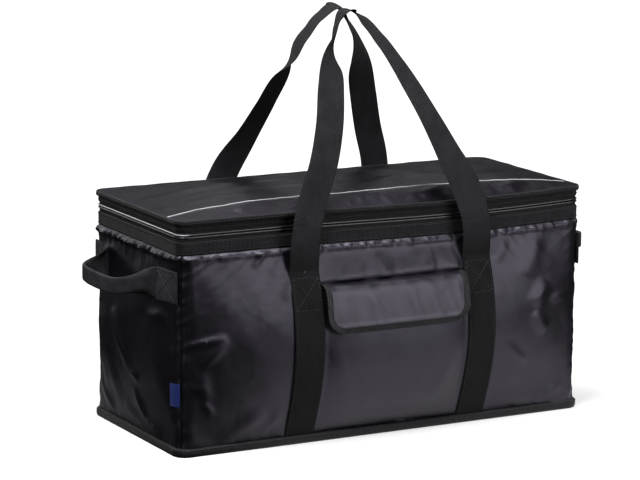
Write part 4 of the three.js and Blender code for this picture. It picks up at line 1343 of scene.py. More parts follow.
@dataclass
class Lid:
    """The zipped lid: two top panels, piping between them, a skirt, its binding and padding."""

    finishes: Finishes
    piping_radius: float = 1.0 * MM
    growth: float = 0.045
    fold_gain: float = 1.5

    def relief(self, x: Array, y: Array) -> Array:
        """How far the lid's cloth stands above its plain form: its folds and a slow waviness."""
        made = self.fold_gain * fold_relief(x, y, LID_FOLDS)
        made += 0.7 * MM * waves(x + 0.5 * y, (0.09, 0.151, 0.23), 51)
        made += 0.5 * MM * waves(y - 0.2 * x, (0.071, 0.12), 53)
        edge_x = ease((FORM.half_length - np.abs(x)) / (22 * MM))
        edge_y = ease((FORM.half_depth - np.abs(y)) / (16 * MM))
        pucker = 0.8 * MM * waves(x, (0.021, 0.034, 0.055), 55) * np.exp(-(((np.abs(y) - 0.128) / 0.012) ** 2))
        return made * edge_x * edge_y + pucker * edge_x

    def sheet(self, name: str, low: float, high: float, count: int, thickness: float) -> bpy.types.Object:
        """Part of the lid between two depths: the lid's height over a rounded plan, plus relief."""
        inset = -1.2 * MM
        radius = FORM.corner_radius - inset
        share = np.linspace(0, 1, count)
        y = low + (high - low) * share
        over = np.clip(np.abs(y) - FORM.straight_y, 0, radius - 0.3 * MM)
        reach = FORM.straight_x + np.sqrt(radius**2 - over**2)
        place = np.sin(np.linspace(-math.pi / 2, math.pi / 2, 15))
        places = np.unique(np.concatenate([np.linspace(-1, 1, 150), place]))
        x = reach[:, None] * places
        depth = np.broadcast_to(y[:, None], x.shape)
        z = FORM.lid_top(x, depth) + self.relief(x, depth) - 0.2 * MM
        start = np.stack([x, depth, z], axis=-1)
        edge = np.minimum(reach[:, None] - np.abs(x), np.minimum(depth - low, high - depth))
        pins = ease(1 - (edge - 3 * MM) / (4 * MM))
        top = relax(name, start, pins, np.full(x.shape, self.growth), 6 * MM)
        sunk = np.minimum(top[..., 2] - FORM.lid_top(x, depth), 0)
        seam = -FORM.half_depth + FORM.crest_setback
        groove = 0.9 * MM * np.exp(-(((depth - seam) / (3 * MM)) ** 2))
        top[..., 2] -= sunk * 0.6 + groove
        return sheet_piece(name, top, top - np.array([0, 0, thickness]), y, places * FORM.half_length)

    def piping(self) -> None:
        """A round cord along the seam between the two panels, a little uneven."""
        seam = -FORM.half_depth + FORM.crest_setback
        x = np.linspace(-324 * MM, 324 * MM, 220)
        y = seam + 0.9 * MM * waves(x, (0.05, 0.08, 0.13), 61)
        z = FORM.lid_top(x, y) + self.relief(x, y) - 0.35 * MM + 0.35 * MM * waves(x, (0.027, 0.061), 62)
        centre = np.stack([x, y, z], axis=-1)
        along = unit(np.gradient(centre, axis=0))
        across = unit(np.cross(along, np.array([0, 0, 1.0])))
        radius = np.full(len(x), self.piping_radius)
        outer, inner = round_rod(centre, across, np.cross(across, along), radius, 10)
        made = sheet_piece("lid_piping_cord", outer, inner, x, np.linspace(0, 4 * MM, 5))
        made.data.materials.append(self.finishes.piping)
        settle(made, "lid", "piping", "lid_piping")

    def under(self) -> None:
        """The foam under the lid's cloth, and the lining film drawn up round its edge."""
        y = np.linspace(-137 * MM, 137 * MM, 60)
        over = np.clip(np.abs(y) - FORM.straight_y, 0, 11.2 * MM)
        reach = FORM.straight_x + np.sqrt((11.3 * MM) ** 2 - over**2)
        share = np.linspace(-1, 1, 110)
        x = reach[:, None] * share
        depth = np.broadcast_to(y[:, None], x.shape)
        top = np.stack([x, depth, FORM.lid_top(x, depth) - 2.6 * MM], axis=-1)
        foam = sheet_piece("lid_foam_sheet", top, top - np.array([0, 0, 5.2 * MM]), y, share * FORM.half_length)
        foam.data.materials.append(self.finishes.foam)
        settle(foam, "lid", "foam", "lid_foam")
        rim_x = (reach[:, None] - np.abs(x)) / (6 * MM)
        rim_y = (137 * MM - np.abs(depth)) / (6 * MM)
        wall = 1 - ease(np.minimum(rim_x, rim_y))
        spread = 1 + 0.0035 * wall
        creases = 0.5 * MM * waves(x + 0.4 * depth, (0.047, 0.083, 0.12), 71) * (1 - wall)
        z = FORM.lid_top(x, depth) - 8.3 * MM + 5.4 * MM * wall - 0.4 * MM * (1 - wall) + creases
        film = np.stack([x * spread, depth * spread, z], axis=-1)
        made = sheet_piece("lid_lining_film", film, film - np.array([0, 0, 0.5 * MM]), y, share * FORM.half_length)
        made.data.materials.append(self.finishes.lining)
        settle(made, "lid", "lining", "lid_liner")

    def build(self) -> None:
        """Every piece that rides on the lid."""
        seam = -FORM.half_depth + FORM.crest_setback
        rim = FORM.half_depth + 1.2 * MM
        strip = self.sheet("lid_front_cloth", -rim, seam - 0.5 * MM, 20, FORM.fabric)
        strip.data.materials.append(self.finishes.shell)
        settle(strip, "lid", "shell", "lid_front_strip")
        panel = self.sheet("lid_top_cloth", seam + 0.5 * MM, rim, 64, FORM.fabric)
        panel.data.materials.append(self.finishes.shell)
        settle(panel, "lid", "shell", "lid_top_panel")
        self.piping()
        self.under()
        edges = Edges(self.finishes)
        skirt = edges.band("lid_skirt_band", 7 * MM, 20 * MM, 0.0, 1.2 * MM, 81)
        skirt.data.materials.append(self.finishes.grosgrain)
        settle(skirt, "lid", "shell", "lid_skirt")
        binding = edges.band("lid_binding_tape", 15.5 * MM, 22.4 * MM, 1.4 * MM, 4.4 * MM, 83)
        binding.data.materials.append(self.finishes.grosgrain)
        settle(binding, "lid", "webbing", "lid_binding")
        seams = Seams("lid_edge_stitches")
        edges.sew_round(seams, 10 * MM, 1.3 * MM)
        edges.sew_round(seams, 18.6 * MM, 4.5 * MM)
        settle(seams.make(self.finishes.thread), "lid", "webbing")


@dataclass
class LongHandle:
    """A long handle: two sewn straps, two free legs and the loop above them.

    Heights run from the stitching's top at share 0 to the loop's apex at share 1. The other
    tables give the run inwards, the spread and the webbing's roll at those heights.
    """

    finishes: Finishes
    face: Side
    inward_shares: tuple[float, ...]
    skew: float
    roll_up: tuple[float, ...]
    roll_down: tuple[float, ...]
    lift: float
    rise_shares: tuple[float, ...] = (0, 0.14, 0.283, 0.43, 0.57, 0.71, 0.79, 0.885, 0.96, 1)
    spread_shares: tuple[float, ...] = (1, 0.99, 0.9, 0.73, 0.59, 0.46, 0.38, 0.27, 0.14, 0)
    stitch_top: float = 247 * MM
    fold_height: float = 346 * MM
    split_height: float = 302 * MM
    apex_height: float = 597 * MM
    apex_setback: float = 24.5 * MM

    @property
    def sign(self) -> int:
        """-1 at the front and 1 at the back."""
        return self.face.value[1]

    def wall(self, x: Array, z: Array, out: float) -> Array:
        """The wall's depth that the strap is sewn to."""
        return FORM.front_y(x, z, out) if self.face is Side.FRONT else FORM.back_y(x, z, out)

    def foot(self) -> float:
        """How far from the middle plane the webbing's middle leaves the wall."""
        x = np.array([FORM.strap_spacing / 2])
        z = np.array([self.stitch_top])
        return abs(float(self.wall(x, z, self.lift)[0])) + FORM.web_thickness / 2

    def places(self, leg: int) -> Array:
        """Middle points of one leg at the table's heights, from the stitching to the apex."""
        share = np.array(self.rise_shares)
        run = self.foot() - self.apex_setback
        y = self.sign * (self.foot() - run * np.array(self.inward_shares))
        x = leg * FORM.strap_spacing / 2 * np.array(self.spread_shares) + self.skew * np.sin(math.pi * share)
        z = self.stitch_top + (self.apex_height - self.stitch_top) * share
        return np.stack([x, y, z], axis=-1)

    def path(self) -> tuple[Array, Array]:
        """The whole line from one stitching to the other, and the roll along it in degrees.

        A spline through the table's points, by their distance along the line.
        """
        left = self.places(-1)
        right = self.places(1)
        knots = np.concatenate([left, right[-2::-1]])
        roll = np.concatenate([self.roll_up, self.roll_down[-2::-1]])
        run = run_of(knots)
        at = np.linspace(0, run[-1], 330)
        return spline(run, knots, at), spline(run, roll, at)

    def frame_of(self, centre: Array, roll: Array) -> tuple[Array, Array, Array]:
        """Directions along, across and out of the webbing, turned by its roll about its line."""
        along = unit(np.gradient(centre, axis=0))
        depth = np.tile([0.0, 1.0, 0.0], (len(centre), 1))
        normal = unit(depth - along * along[:, 1:2])
        level = np.cross(normal, along)
        turn = np.radians(roll)[:, None]
        across = level * np.cos(turn) + normal * np.sin(turn)
        return along, across, np.cross(across, along)

    def sewn(self, leg: int, name: str, nodes: tuple[str, str]) -> None:
        """A strap up the wall and its free stretch above, bending at the stitching."""
        bottom = FORM.seam_height + FORM.gap
        low = np.linspace(bottom, self.stitch_top, 60)
        x_low = np.full(len(low), leg * FORM.strap_spacing / 2)
        y_low = self.wall(x_low, low, self.lift) + self.sign * FORM.web_thickness / 2
        path, _ = self.path()
        half = path[: len(path) // 2] if leg < 0 else path[: len(path) // 2 : -1]
        high = half[(half[:, 2] > self.stitch_top + 3 * MM) & (half[:, 2] < self.split_height)]
        ends = np.array([[np.interp(self.split_height, half[:, 2], half[:, k]) for k in range(3)]])
        centre = np.concatenate([np.stack([x_low, y_low, low], axis=-1), high, ends])
        place, thick = lens(15)
        wide = place * FORM.web_width / 2
        x = centre[:, :1] + wide
        z = np.broadcast_to(centre[:, 2:], x.shape)
        on_wall = self.wall(x, z, self.lift + FORM.web_thickness / 2)
        free = ease((z - (self.stitch_top - 12 * MM)) / (26 * MM))
        y = on_wall * (1 - free) + centre[:, 1:2] * free
        lift = thick * FORM.web_thickness / 2
        outer = np.stack([x, y + self.sign * lift, z], axis=-1)
        inner = np.stack([x, y - self.sign * lift, z], axis=-1)
        made = sheet_piece(name, outer, inner, run_of(centre), wide)
        made.data.materials.append(self.finishes.webbing)
        pivot = self.pivot(self.stitch_top)
        spread = np.array([0, 0, 9 * MM])
        bodies = ("box", f"{self.face.name.lower()}_handle_legs")
        bend(made, bodies, pivot - spread, pivot + spread, "webbing", *nodes)

    def pivot(self, height: float) -> Array:
        """The bending line's place at a height, on the webbing's outer side."""
        return np.array([0.0, self.sign * (self.foot() + FORM.web_thickness / 2), height])

    def cross_stitches(self, leg: int) -> Seams:
        """Rows up both edges, and a box with a cross in it below the stitching's top."""
        seams = Seams(f"{self.face.name.lower()}_strap_stitches_{'left' if leg < 0 else 'right'}")
        edge = FORM.web_width / 2 - 3 * MM
        out = self.lift + FORM.web_thickness
        middle = leg * FORM.strap_spacing / 2

        def row(x0: float, z0: float, x1: float, z1: float) -> None:
            share = np.linspace(0, 1, 40)
            x = middle + x0 + (x1 - x0) * share
            z = z0 + (z1 - z0) * share
            points = np.stack([x, self.wall(x, z, out), z], axis=-1)
            seams.sew(points, np.tile([0.0, self.sign, 0.0], (len(x), 1)))

        top = self.stitch_top - 4 * MM
        low = top - 44 * MM
        foot = FORM.seam_height + 3 * MM
        for side in (-edge, edge):
            row(side, foot, side, top)
        row(-edge, top, edge, top)
        row(-edge, low, edge, low)
        row(-edge, low, edge, top)
        row(-edge, top, edge, low)
        return seams

    def loop(self) -> None:
        """The webbing above the split: up one leg, over the apex and down the other."""
        centre, roll = self.path()
        inside = centre[:, 2] > self.split_height
        first = int(np.argmax(inside))
        last = len(inside) - int(np.argmax(inside[::-1]))

        def cut(a: int, b: int) -> tuple[Array, float]:
            share = (self.split_height - centre[a, 2]) / (centre[b, 2] - centre[a, 2])
            return centre[a] + (centre[b] - centre[a]) * share, roll[a] + (roll[b] - roll[a]) * share

        start, start_roll = cut(first - 1, first)
        end, end_roll = cut(last, last - 1)
        centre = np.concatenate([[start], centre[first:last], [end]])
        roll = np.concatenate([[start_roll], roll[first:last], [end_roll]])
        _, across, normal = self.frame_of(centre, roll)
        flat = ease((centre[:, 2] - self.split_height) / (30 * MM))[:, None]
        way = np.where(np.arange(len(centre)) < len(centre) / 2, 1.0, -1.0)[:, None]
        across = unit(across * flat + np.array([1.0, 0, 0]) * way * np.sign(across[:, :1] * way) * (1 - flat))
        normal = unit(normal * flat + np.array([0, 1.0, 0]) * np.sign(normal[:, 1:2]) * (1 - flat))
        count = len(centre)
        width = np.full(count, FORM.web_width)
        thickness = np.full(count, FORM.web_thickness)
        outer, inner = ribbon(centre, across, normal, width, thickness, 15)
        place, _ = lens(15)
        made = sheet_piece(
            f"{self.face.name.lower()}_handle_webbing", outer, inner, run_of(centre), place * FORM.web_width / 2
        )
        made.data.materials.append(self.finishes.webbing)
        pivot = self.pivot(self.fold_height)
        spread = np.array([0, 0, 12 * MM])
        name = self.face.name.lower()
        bodies = (f"{name}_handle_legs", f"{name}_handle_loop")
        bend(made, bodies, pivot - spread, pivot + spread, "webbing", f"{name}_loop")

    def build(self) -> None:
        """Both sewn straps with their stitches, and the loop."""
        name = self.face.name.lower()
        for leg, side in ((-1, "left"), (1, "right")):
            nodes = (f"{name}_strap_{side}", f"{name}_leg_{side}")
            self.sewn(leg, f"{name}_strap_webbing_{side}", nodes)
            settle(self.cross_stitches(leg).make(self.finishes.thread), "box", "webbing")
        self.loop()


@dataclass
class GrabHandle:
    """A folded webbing grab handle on one end, sewn down at both sides."""

    finishes: Finishes
    side: Side
    height: float = 240 * MM
    lift: float = 1.1 * MM

    @property
    def sign(self) -> int:
        """-1 on the left and 1 on the right."""
        return self.side.value[0]

    def build(self) -> None:
        """The webbing from one stitching to the other, and both boxes of cross stitches.

        The middle line is a spline through the sewn ends, the bends and the grip. Width and
        thickness follow the webbing's fold: 46 by 2 mm flat, 24 by 5 mm in the grip, and the
        edges curl in behind as it narrows.
        """
        half = np.array(
            [
                [137.0, 0.0, 0.0, 46, 2],
                [120.0, 0.0, 0.0, 46, 2],
                [100.0, 0.0, 0.0, 46, 2],
                [84.0, 1.0, 0.0, 46, 2],
                [78.5, 9.0, 0.0, 44, 2.2],
                [74.5, 21.0, 0.2, 36, 3.0],
                [71.0, 33.0, 1.2, 28, 4.2],
                [66.0, 45.0, 2.8, 24.5, 5],
                [58.0, 55.0, 4.8, 24, 5],
                [38.7, 59.5, 6.3, 24, 5],
                [15.0, 60.5, 6.8, 24, 5],
            ]
        )
        rear = half[::-1] * np.array([-1, 1, 1, 1, 1])
        table = np.concatenate([half, rear])
        depth, out, droop, width, thick = (spline(run_of(table[:, :2]), table, np.linspace(0, 1, 150) * run_of(table[:, :2])[-1]).T)
        z = self.height - droop * MM
        y = depth * MM * -1
        share = np.clip(out / 8, 0, 1)
        place, lens_share = lens(15)
        wide = place[None, :] * width[:, None] / 2 * MM
        level = np.broadcast_to(z[:, None], wide.shape) + wide
        plan_y = np.broadcast_to(y[:, None], wide.shape)
        rim = np.full_like(level, FORM.zip_height)
        on_wall = FORM.swell(FORM.end_belly, plan_y / FORM.straight_y, level, rim) + self.lift + 1 * MM
        free = ease(share)[:, None]
        middle = (FORM.end_belly * 0.35 * 0 + out[:, None] * MM + 1 * MM) * free + on_wall * (1 - free)
        centre = np.stack([self.sign * (FORM.half_length + middle), plan_y, level], axis=-1)
        spine = centre[:, centre.shape[1] // 2]
        along = unit(np.gradient(spine, axis=0))
        normal = unit(np.cross(along, np.array([0, 0, 1.0])))
        normal *= np.sign(normal[:, :1] * self.sign + 1e-9)
        curl = 5.5 * MM * np.clip(1 - np.abs(width - 35) / 11, 0, 1)[:, None] * place[None, :] ** 4
        centre = centre - normal[:, None] * curl[..., None]
        half_thick = thick[:, None] / 2 * MM * lens_share
        outer = centre + normal[:, None] * half_thick[..., None]
        inner = centre - normal[:, None] * half_thick[..., None]
        name = self.side.name.lower()
        made = sheet_piece(f"{name}_grab_webbing", outer, inner, run_of(spine), place * FORM.web_width / 2)
        # The grab handle's webbing is painted lighter to stand in for light falling on it.
        made.data.materials.append(self.finishes.grab_webbing)
        pivot = np.array([self.sign * 347 * MM, 0, self.height])
        spread = np.array([self.sign * 11 * MM, 0, 0])
        nodes = (f"{name}_tab_front", f"{name}_tab_rear", f"{name}_grip")
        bend(made, ("box", f"{name}_handle"), pivot - spread, pivot + spread, "webbing", *nodes)
        settle(self.cross_stitches(name).make(self.finishes.thread), "box", "webbing")

    def cross_stitches(self, name: str) -> Seams:
        """A box with a cross in it on each sewn end."""
        seams = Seams(f"{name}_grab_stitches")
        edge = FORM.web_width / 2 - 3.5 * MM
        near = 84 * MM
        far = 128 * MM

        def row(y0: float, z0: float, y1: float, z1: float) -> None:
            share = np.linspace(0, 1, 30)
            y = y0 + (y1 - y0) * share
            z = self.height + z0 + (z1 - z0) * share
            rim = np.full_like(z, FORM.zip_height)
            out = FORM.swell(FORM.end_belly, y / FORM.straight_y, z, rim) + self.lift + FORM.web_thickness
            points = np.stack([self.sign * (FORM.half_length + out), y, z], axis=-1)
            seams.sew(points, np.tile([float(self.sign), 0.0, 0.0], (len(y), 1)))

        for face in (-1, 1):
            a = face * near
            b = face * far
            row(a, -edge, a, edge)
            row(b, -edge, b, edge)
            row(a, -edge, b, -edge)
            row(a, edge, b, edge)
            row(a, -edge, b, edge)
            row(a, edge, b, -edge)
        return seams


@dataclass
class Pocket:
    """The front pocket, its hook and loop tapes, and the bound flap over its mouth."""

    finishes: Finishes
    top: float = 220 * MM
    room: float = 10 * MM
    room_half: float = 112 * MM
    room_swell: float = 60 * MM
    flap_top: float = 232 * MM
    flap_bottom: float = 163 * MM
    flap_half: float = 115 * MM
    flap_corner: float = 26 * MM
    mouth_press: float = 0.5
    flap_shoulder: float = 3.5 * MM
    flap_lift: float = 10.6 * MM
    trim: float = 9 * MM

    def stand_off(self, x: Array, z: Array) -> Array:
        """How far the pocket stands off the wall: 1 - x^4 across, a quarter sine upwards.

        Towards its mouth the flap holds it down.
        """
        across = np.clip(1 - (np.abs(x) / self.room_half) ** 4, 0, 1)
        up = np.clip((z - FORM.seam_height) / self.room_swell, 0, 1)
        pressed = 1 - self.mouth_press * ease((z - 110 * MM) / (80 * MM))
        return FORM.gap + self.room * across * np.sin(up * math.pi / 2) * pressed

    def flap_out(self, z: Array) -> Array:
        """How far the flap's inner face stands off: a quick rise, then a slow one as it hangs."""
        below = np.clip(self.flap_top - z, 0, None)
        quick = 1 - np.exp(-below / self.flap_shoulder)
        return FORM.gap + self.flap_lift * (1.15 * quick - 0.25 * ease(below / (60 * MM)))

    def panel(self) -> None:
        """The pocket's front, with soft folds and a gathered, hemmed mouth."""
        x = np.linspace(-140 * MM, 140 * MM, 90)[:, None]
        z = np.linspace(13.3 * MM, self.top, 64)[None, :]
        x, z = np.broadcast_arrays(x, z)
        folds = (
            Fold((-60, 40), (40, 20), 1.6, 9),
            Fold((-108, 150), (-70, 60), 1.5, 12),
            Fold((104, 140), (60, 40), 1.6, 12),
            Fold((-20, 120), (70, 100), 1.2, 16),
        )
        held = ease((140 * MM - np.abs(x)) / (26 * MM)) * ease((z - 13.3 * MM) / (10 * MM))
        loose = fold_relief(x, z, folds) + 0.5 * MM * waves(x + 0.4 * z, (0.06, 0.11, 0.17), 91)
        hem = 0.5 * MM * np.exp(-(((z - (self.top - 9 * MM)) / (7 * MM)) ** 4))
        out = self.stand_off(x, z) + np.maximum(loose, -0.2 * MM) * held + hem
        outer = np.stack([x, FORM.front_y(x, z, out + FORM.fabric), z], axis=-1)
        inner = np.stack([x, FORM.front_y(x, z, out), z], axis=-1)
        made = sheet_piece("pocket_cloth", outer, inner, x[:, 0], z[0])
        made.data.materials.append(self.finishes.shell)
        settle(made, "box", "shell", "pocket_panel")

    def patch(self, name: str, lift: float, body: str, node: str) -> None:
        """A strip of hook or loop tape under the flap."""
        x = np.linspace(-75 * MM, 75 * MM, 50)[:, None]
        z = np.linspace(177 * MM, 197 * MM, 9)[None, :]
        x, z = np.broadcast_arrays(x, z)
        out = self.stand_off(x, z) + FORM.fabric + lift
        outer = np.stack([x, FORM.front_y(x, z, out + 0.8 * MM), z], axis=-1)
        inner = np.stack([x, FORM.front_y(x, z, out), z], axis=-1)
        made = sheet_piece(name, outer, inner, x[:, 0], z[0])
        made.data.materials.append(self.finishes.nap)
        settle(made, body, "webbing", node)

    def reach(self, z: Array, inset: float) -> Array:
        """Half the flap's width at a height, with round lower corners."""
        radius = self.flap_corner - inset
        low = self.flap_bottom + inset
        up = np.clip(z - low, 0, radius)
        return self.flap_half - inset - radius + np.sqrt(np.maximum(radius**2 - (radius - up) ** 2, 0))

    def flap(self) -> None:
        """The flap: a softly domed panel from its seam, over the pocket's mouth."""
        rows = self.flap_bottom + (self.flap_top - self.flap_bottom) * np.linspace(0, 1, 40) ** 1.4
        share = np.linspace(-1, 1, 70)
        reach = np.maximum(self.reach(rows, 0.0), self.flap_half - self.flap_corner)
        x = reach[:, None] * share
        z = np.broadcast_to(rows[:, None], x.shape)
        out = self.flap_out(z) + self.flap_relief(x, z)
        outer = np.stack([x, FORM.front_y(x, z, out + FORM.fabric), z], axis=-1)
        inner = np.stack([x, FORM.front_y(x, z, out), z], axis=-1)
        made = sheet_piece("flap_cloth", outer, inner, rows, share * self.flap_half)
        made.data.materials.append(self.finishes.shell)
        self.hang(made, "shell", "pocket_flap")

    def flap_relief(self, x: Array, z: Array) -> Array:
        """Softness of the flap: a shallow hollow inside its binding and slight waves."""
        inside = np.minimum(self.flap_half - np.abs(x), z - self.flap_bottom)
        hollow = -0.9 * MM * ease((inside - self.trim) / (6 * MM))
        slack = 0.7 * MM * waves(x + 0.3 * z, (0.031, 0.053, 0.094), 95)
        return hollow + slack * ease((self.flap_top - z) / (10 * MM)) * ease((inside + 4 * MM) / (10 * MM))

    def hang(self, piece: bpy.types.Object, slot: str, *nodes: str) -> None:
        """Bakes a piece of the flap in place and hides the nodes that it stands for."""
        y = float(FORM.front_y(np.array([0.0]), np.array([self.flap_top]), 0.6 * MM)[0])
        bend(piece, ("box", "flap"), (0, y, self.flap_top), (0, y, self.flap_top - 7 * MM), slot, *nodes)

    def binding(self) -> None:
        """A ribbed tape round the flap's sides and foot, and its two rows of stitches.

        Its line runs down one side, round the corner's quarter circle, along the foot and
        up the other side, and its width is measured inwards from that edge.
        """
        cx = self.flap_half - self.flap_corner
        cz = self.flap_bottom + self.flap_corner
        turn = np.linspace(0, math.pi / 2, 14)
        side = np.linspace(self.flap_top - 0.3 * MM, cz, 14)[:-1]
        foot = np.linspace(-cx, 0, 24)[1:]
        left_x = np.concatenate([np.full(len(side), -self.flap_half), -cx - self.flap_corner * np.cos(turn), foot])
        left_z = np.concatenate([side, cz - self.flap_corner * np.sin(turn), np.full(len(foot), self.flap_bottom)])
        in_x = np.concatenate([np.ones(len(side)), np.cos(turn), np.zeros(len(foot))])
        in_z = np.concatenate([np.zeros(len(side)), np.sin(turn), np.ones(len(foot))])
        x = np.concatenate([left_x, -left_x[-2::-1]])
        z = np.concatenate([left_z, left_z[-2::-1]])
        way_x = np.concatenate([in_x, -in_x[-2::-1]])
        way_z = np.concatenate([in_z, in_z[-2::-1]])
        place, thick = lens(11)
        across = (place + 1) / 2 * self.trim - 0.6 * MM
        gx = x[:, None] + way_x[:, None] * across
        gz = np.minimum(z[:, None] + way_z[:, None] * across, self.flap_top - 0.3 * MM)
        out = self.flap_out(gz) + self.flap_relief(gx, gz) + FORM.fabric + 0.5 * MM
        lift = thick[None, :] * 0.9 * MM
        outer = np.stack([gx, FORM.front_y(gx, gz, out + lift), gz], axis=-1)
        inner = np.stack([gx, FORM.front_y(gx, gz, out - lift * 0.5), gz], axis=-1)
        middle = outer[:, 5]
        made = sheet_piece("flap_binding_tape", outer, inner, run_of(middle), across)
        made.data.materials.append(self.finishes.grosgrain)
        self.hang(made, "webbing", "flap_binding")
        seams = Seams("flap_stitches")
        for column in (2, 8):
            seams.sew(outer[2:-2, column], np.tile([0.0, -1.0, 0.0], (len(outer) - 4, 1)))
        self.hang(seams.make(self.finishes.thread), "webbing")

    def build(self) -> None:
        """Pocket, tapes, flap and binding."""
        self.panel()
        self.patch("pocket_loop_strip", 0.3 * MM, "box", "pocket_loop_tape")
        self.patch("flap_hook_strip", 1.4 * MM, "flap", "flap_hook_tape")
        self.flap()
        self.binding()


@dataclass
class SideLabel:
    """A small folded label sewn in at the front left corner."""

    finishes: Finishes
    width: float = 17 * MM
    height: float = 33 * MM
    bottom: float = 72 * MM
    lean: float = 25

    def build(self) -> None:
        """A doubled satin tape, curved a little as it leaves the seam."""
        u = np.linspace(0, 1, 16)
        bow = 0.8 * MM * np.sin(math.pi * u)
        angle = math.radians(90 + self.lean)
        way = np.array([math.cos(angle), math.sin(angle)])
        off = np.array([way[1], -way[0]])
        base = np.array([-324.2 * MM, -136.8 * MM])
        plan = base + way * (u * self.width)[:, None] - off * bow[:, None]
        z = self.bottom + self.height * np.linspace(0, 1, 20)
        place, thick = lens(20)
        half = (0.3 * MM + 0.25 * MM * thick)[None, :, None]
        middle = np.broadcast_to(plan[:, None], (len(u), len(z), 2))
        height = np.broadcast_to(z[None, :, None], (len(u), len(z), 1))
        outer = np.concatenate([middle - off * half, height], axis=-1)
        inner = np.concatenate([middle + off * half, height], axis=-1)
        made = sheet_piece("side_label_tape", outer, inner, u * self.width, z)
        made.data.materials.append(self.finishes.label)
        settle(made, "box", "label", "side_label")


@dataclass
class ZipSliders:
    """The two sliders and their pulls, with the frame's shapes softened at their edges."""

    finishes: Finishes
    bevel: float = 0.35 * MM

    def build(self) -> None:
        """Copies each node's mesh, merges its corners and bevels them."""
        pairs = {
            "front_slider": "front_zip_slider",
            "rear_slider": "rear_zip_slider",
            "front_pull": "front_zip_pull",
            "rear_pull": "rear_zip_pull",
        }
        for node, body in pairs.items():
            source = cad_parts[node]
            mesh = source.data.copy()
            made = bpy.data.objects.new(f"{node}_cast", mesh)
            bpy.context.scene.collection.objects.link(made)
            made.matrix_world = source.matrix_world
            weld = made.modifiers.new("merge", "WELD")
            weld.merge_threshold = 0.01 * MM
            round_off = made.modifiers.new("round", "BEVEL")
            round_off.width = self.bevel
            round_off.segments = 3
            round_off.limit_method = "ANGLE"
            made.data.materials.clear()
            made.data.materials.append(self.finishes.zinc)
            made.data.shade_smooth()
            settle(made, body, "metal", node)


@dataclass(frozen=True)
class Softbox:
    """A rectangular soft light: its place, aim, size in metres and radiance."""

    name: str
    place: tuple[float, float, float]
    aim: tuple[float, float, float]
    size: tuple[float, float]
    radiance: float


SOFTBOXES = (
    Softbox("key_softbox", (0.15, -0.75, 2.6), (0, 0, 0.1), (1.2, 1.2), 11.0),
    Softbox("left_softbox", (-1.45, -1.05, 2.1), (-0.2, 0, 0.2), (0.8, 0.8), 24.0),
    Softbox("front_softbox", (1.0, -2.05, 0.95), (0, -0.14, 0.25), (1.1, 1.6), 4.2),
    Softbox("top_softbox", (-0.6, 0.6, 2.8), (-0.2, 0.2, 0), (1.2, 1.2), 4.0),
    Softbox("rear_softbox", (0.95, 1.78, 1.6), (0, 0, 0.3), (1.1, 0.4), 1.6),
    Softbox("back_strip_softbox", (-0.35, 2.2, 1.5), (-0.3, 0, 0.3), (0.7, 0.25), 9.0),
    Softbox("left_strip_softbox", (-2.0, -0.3, 0.6), (-0.33, 0, 0.25), (0.45, 1.0), 1.8),
    Softbox("back_softbox", (-1.1, 2.1, 0.9), (0, 0.14, 0.2), (0.9, 1.1), 2.4),
    Softbox("right_softbox", (2.2, 0.5, 0.8), (0.33, 0, 0.2), (0.9, 0.9), 1.5),
)


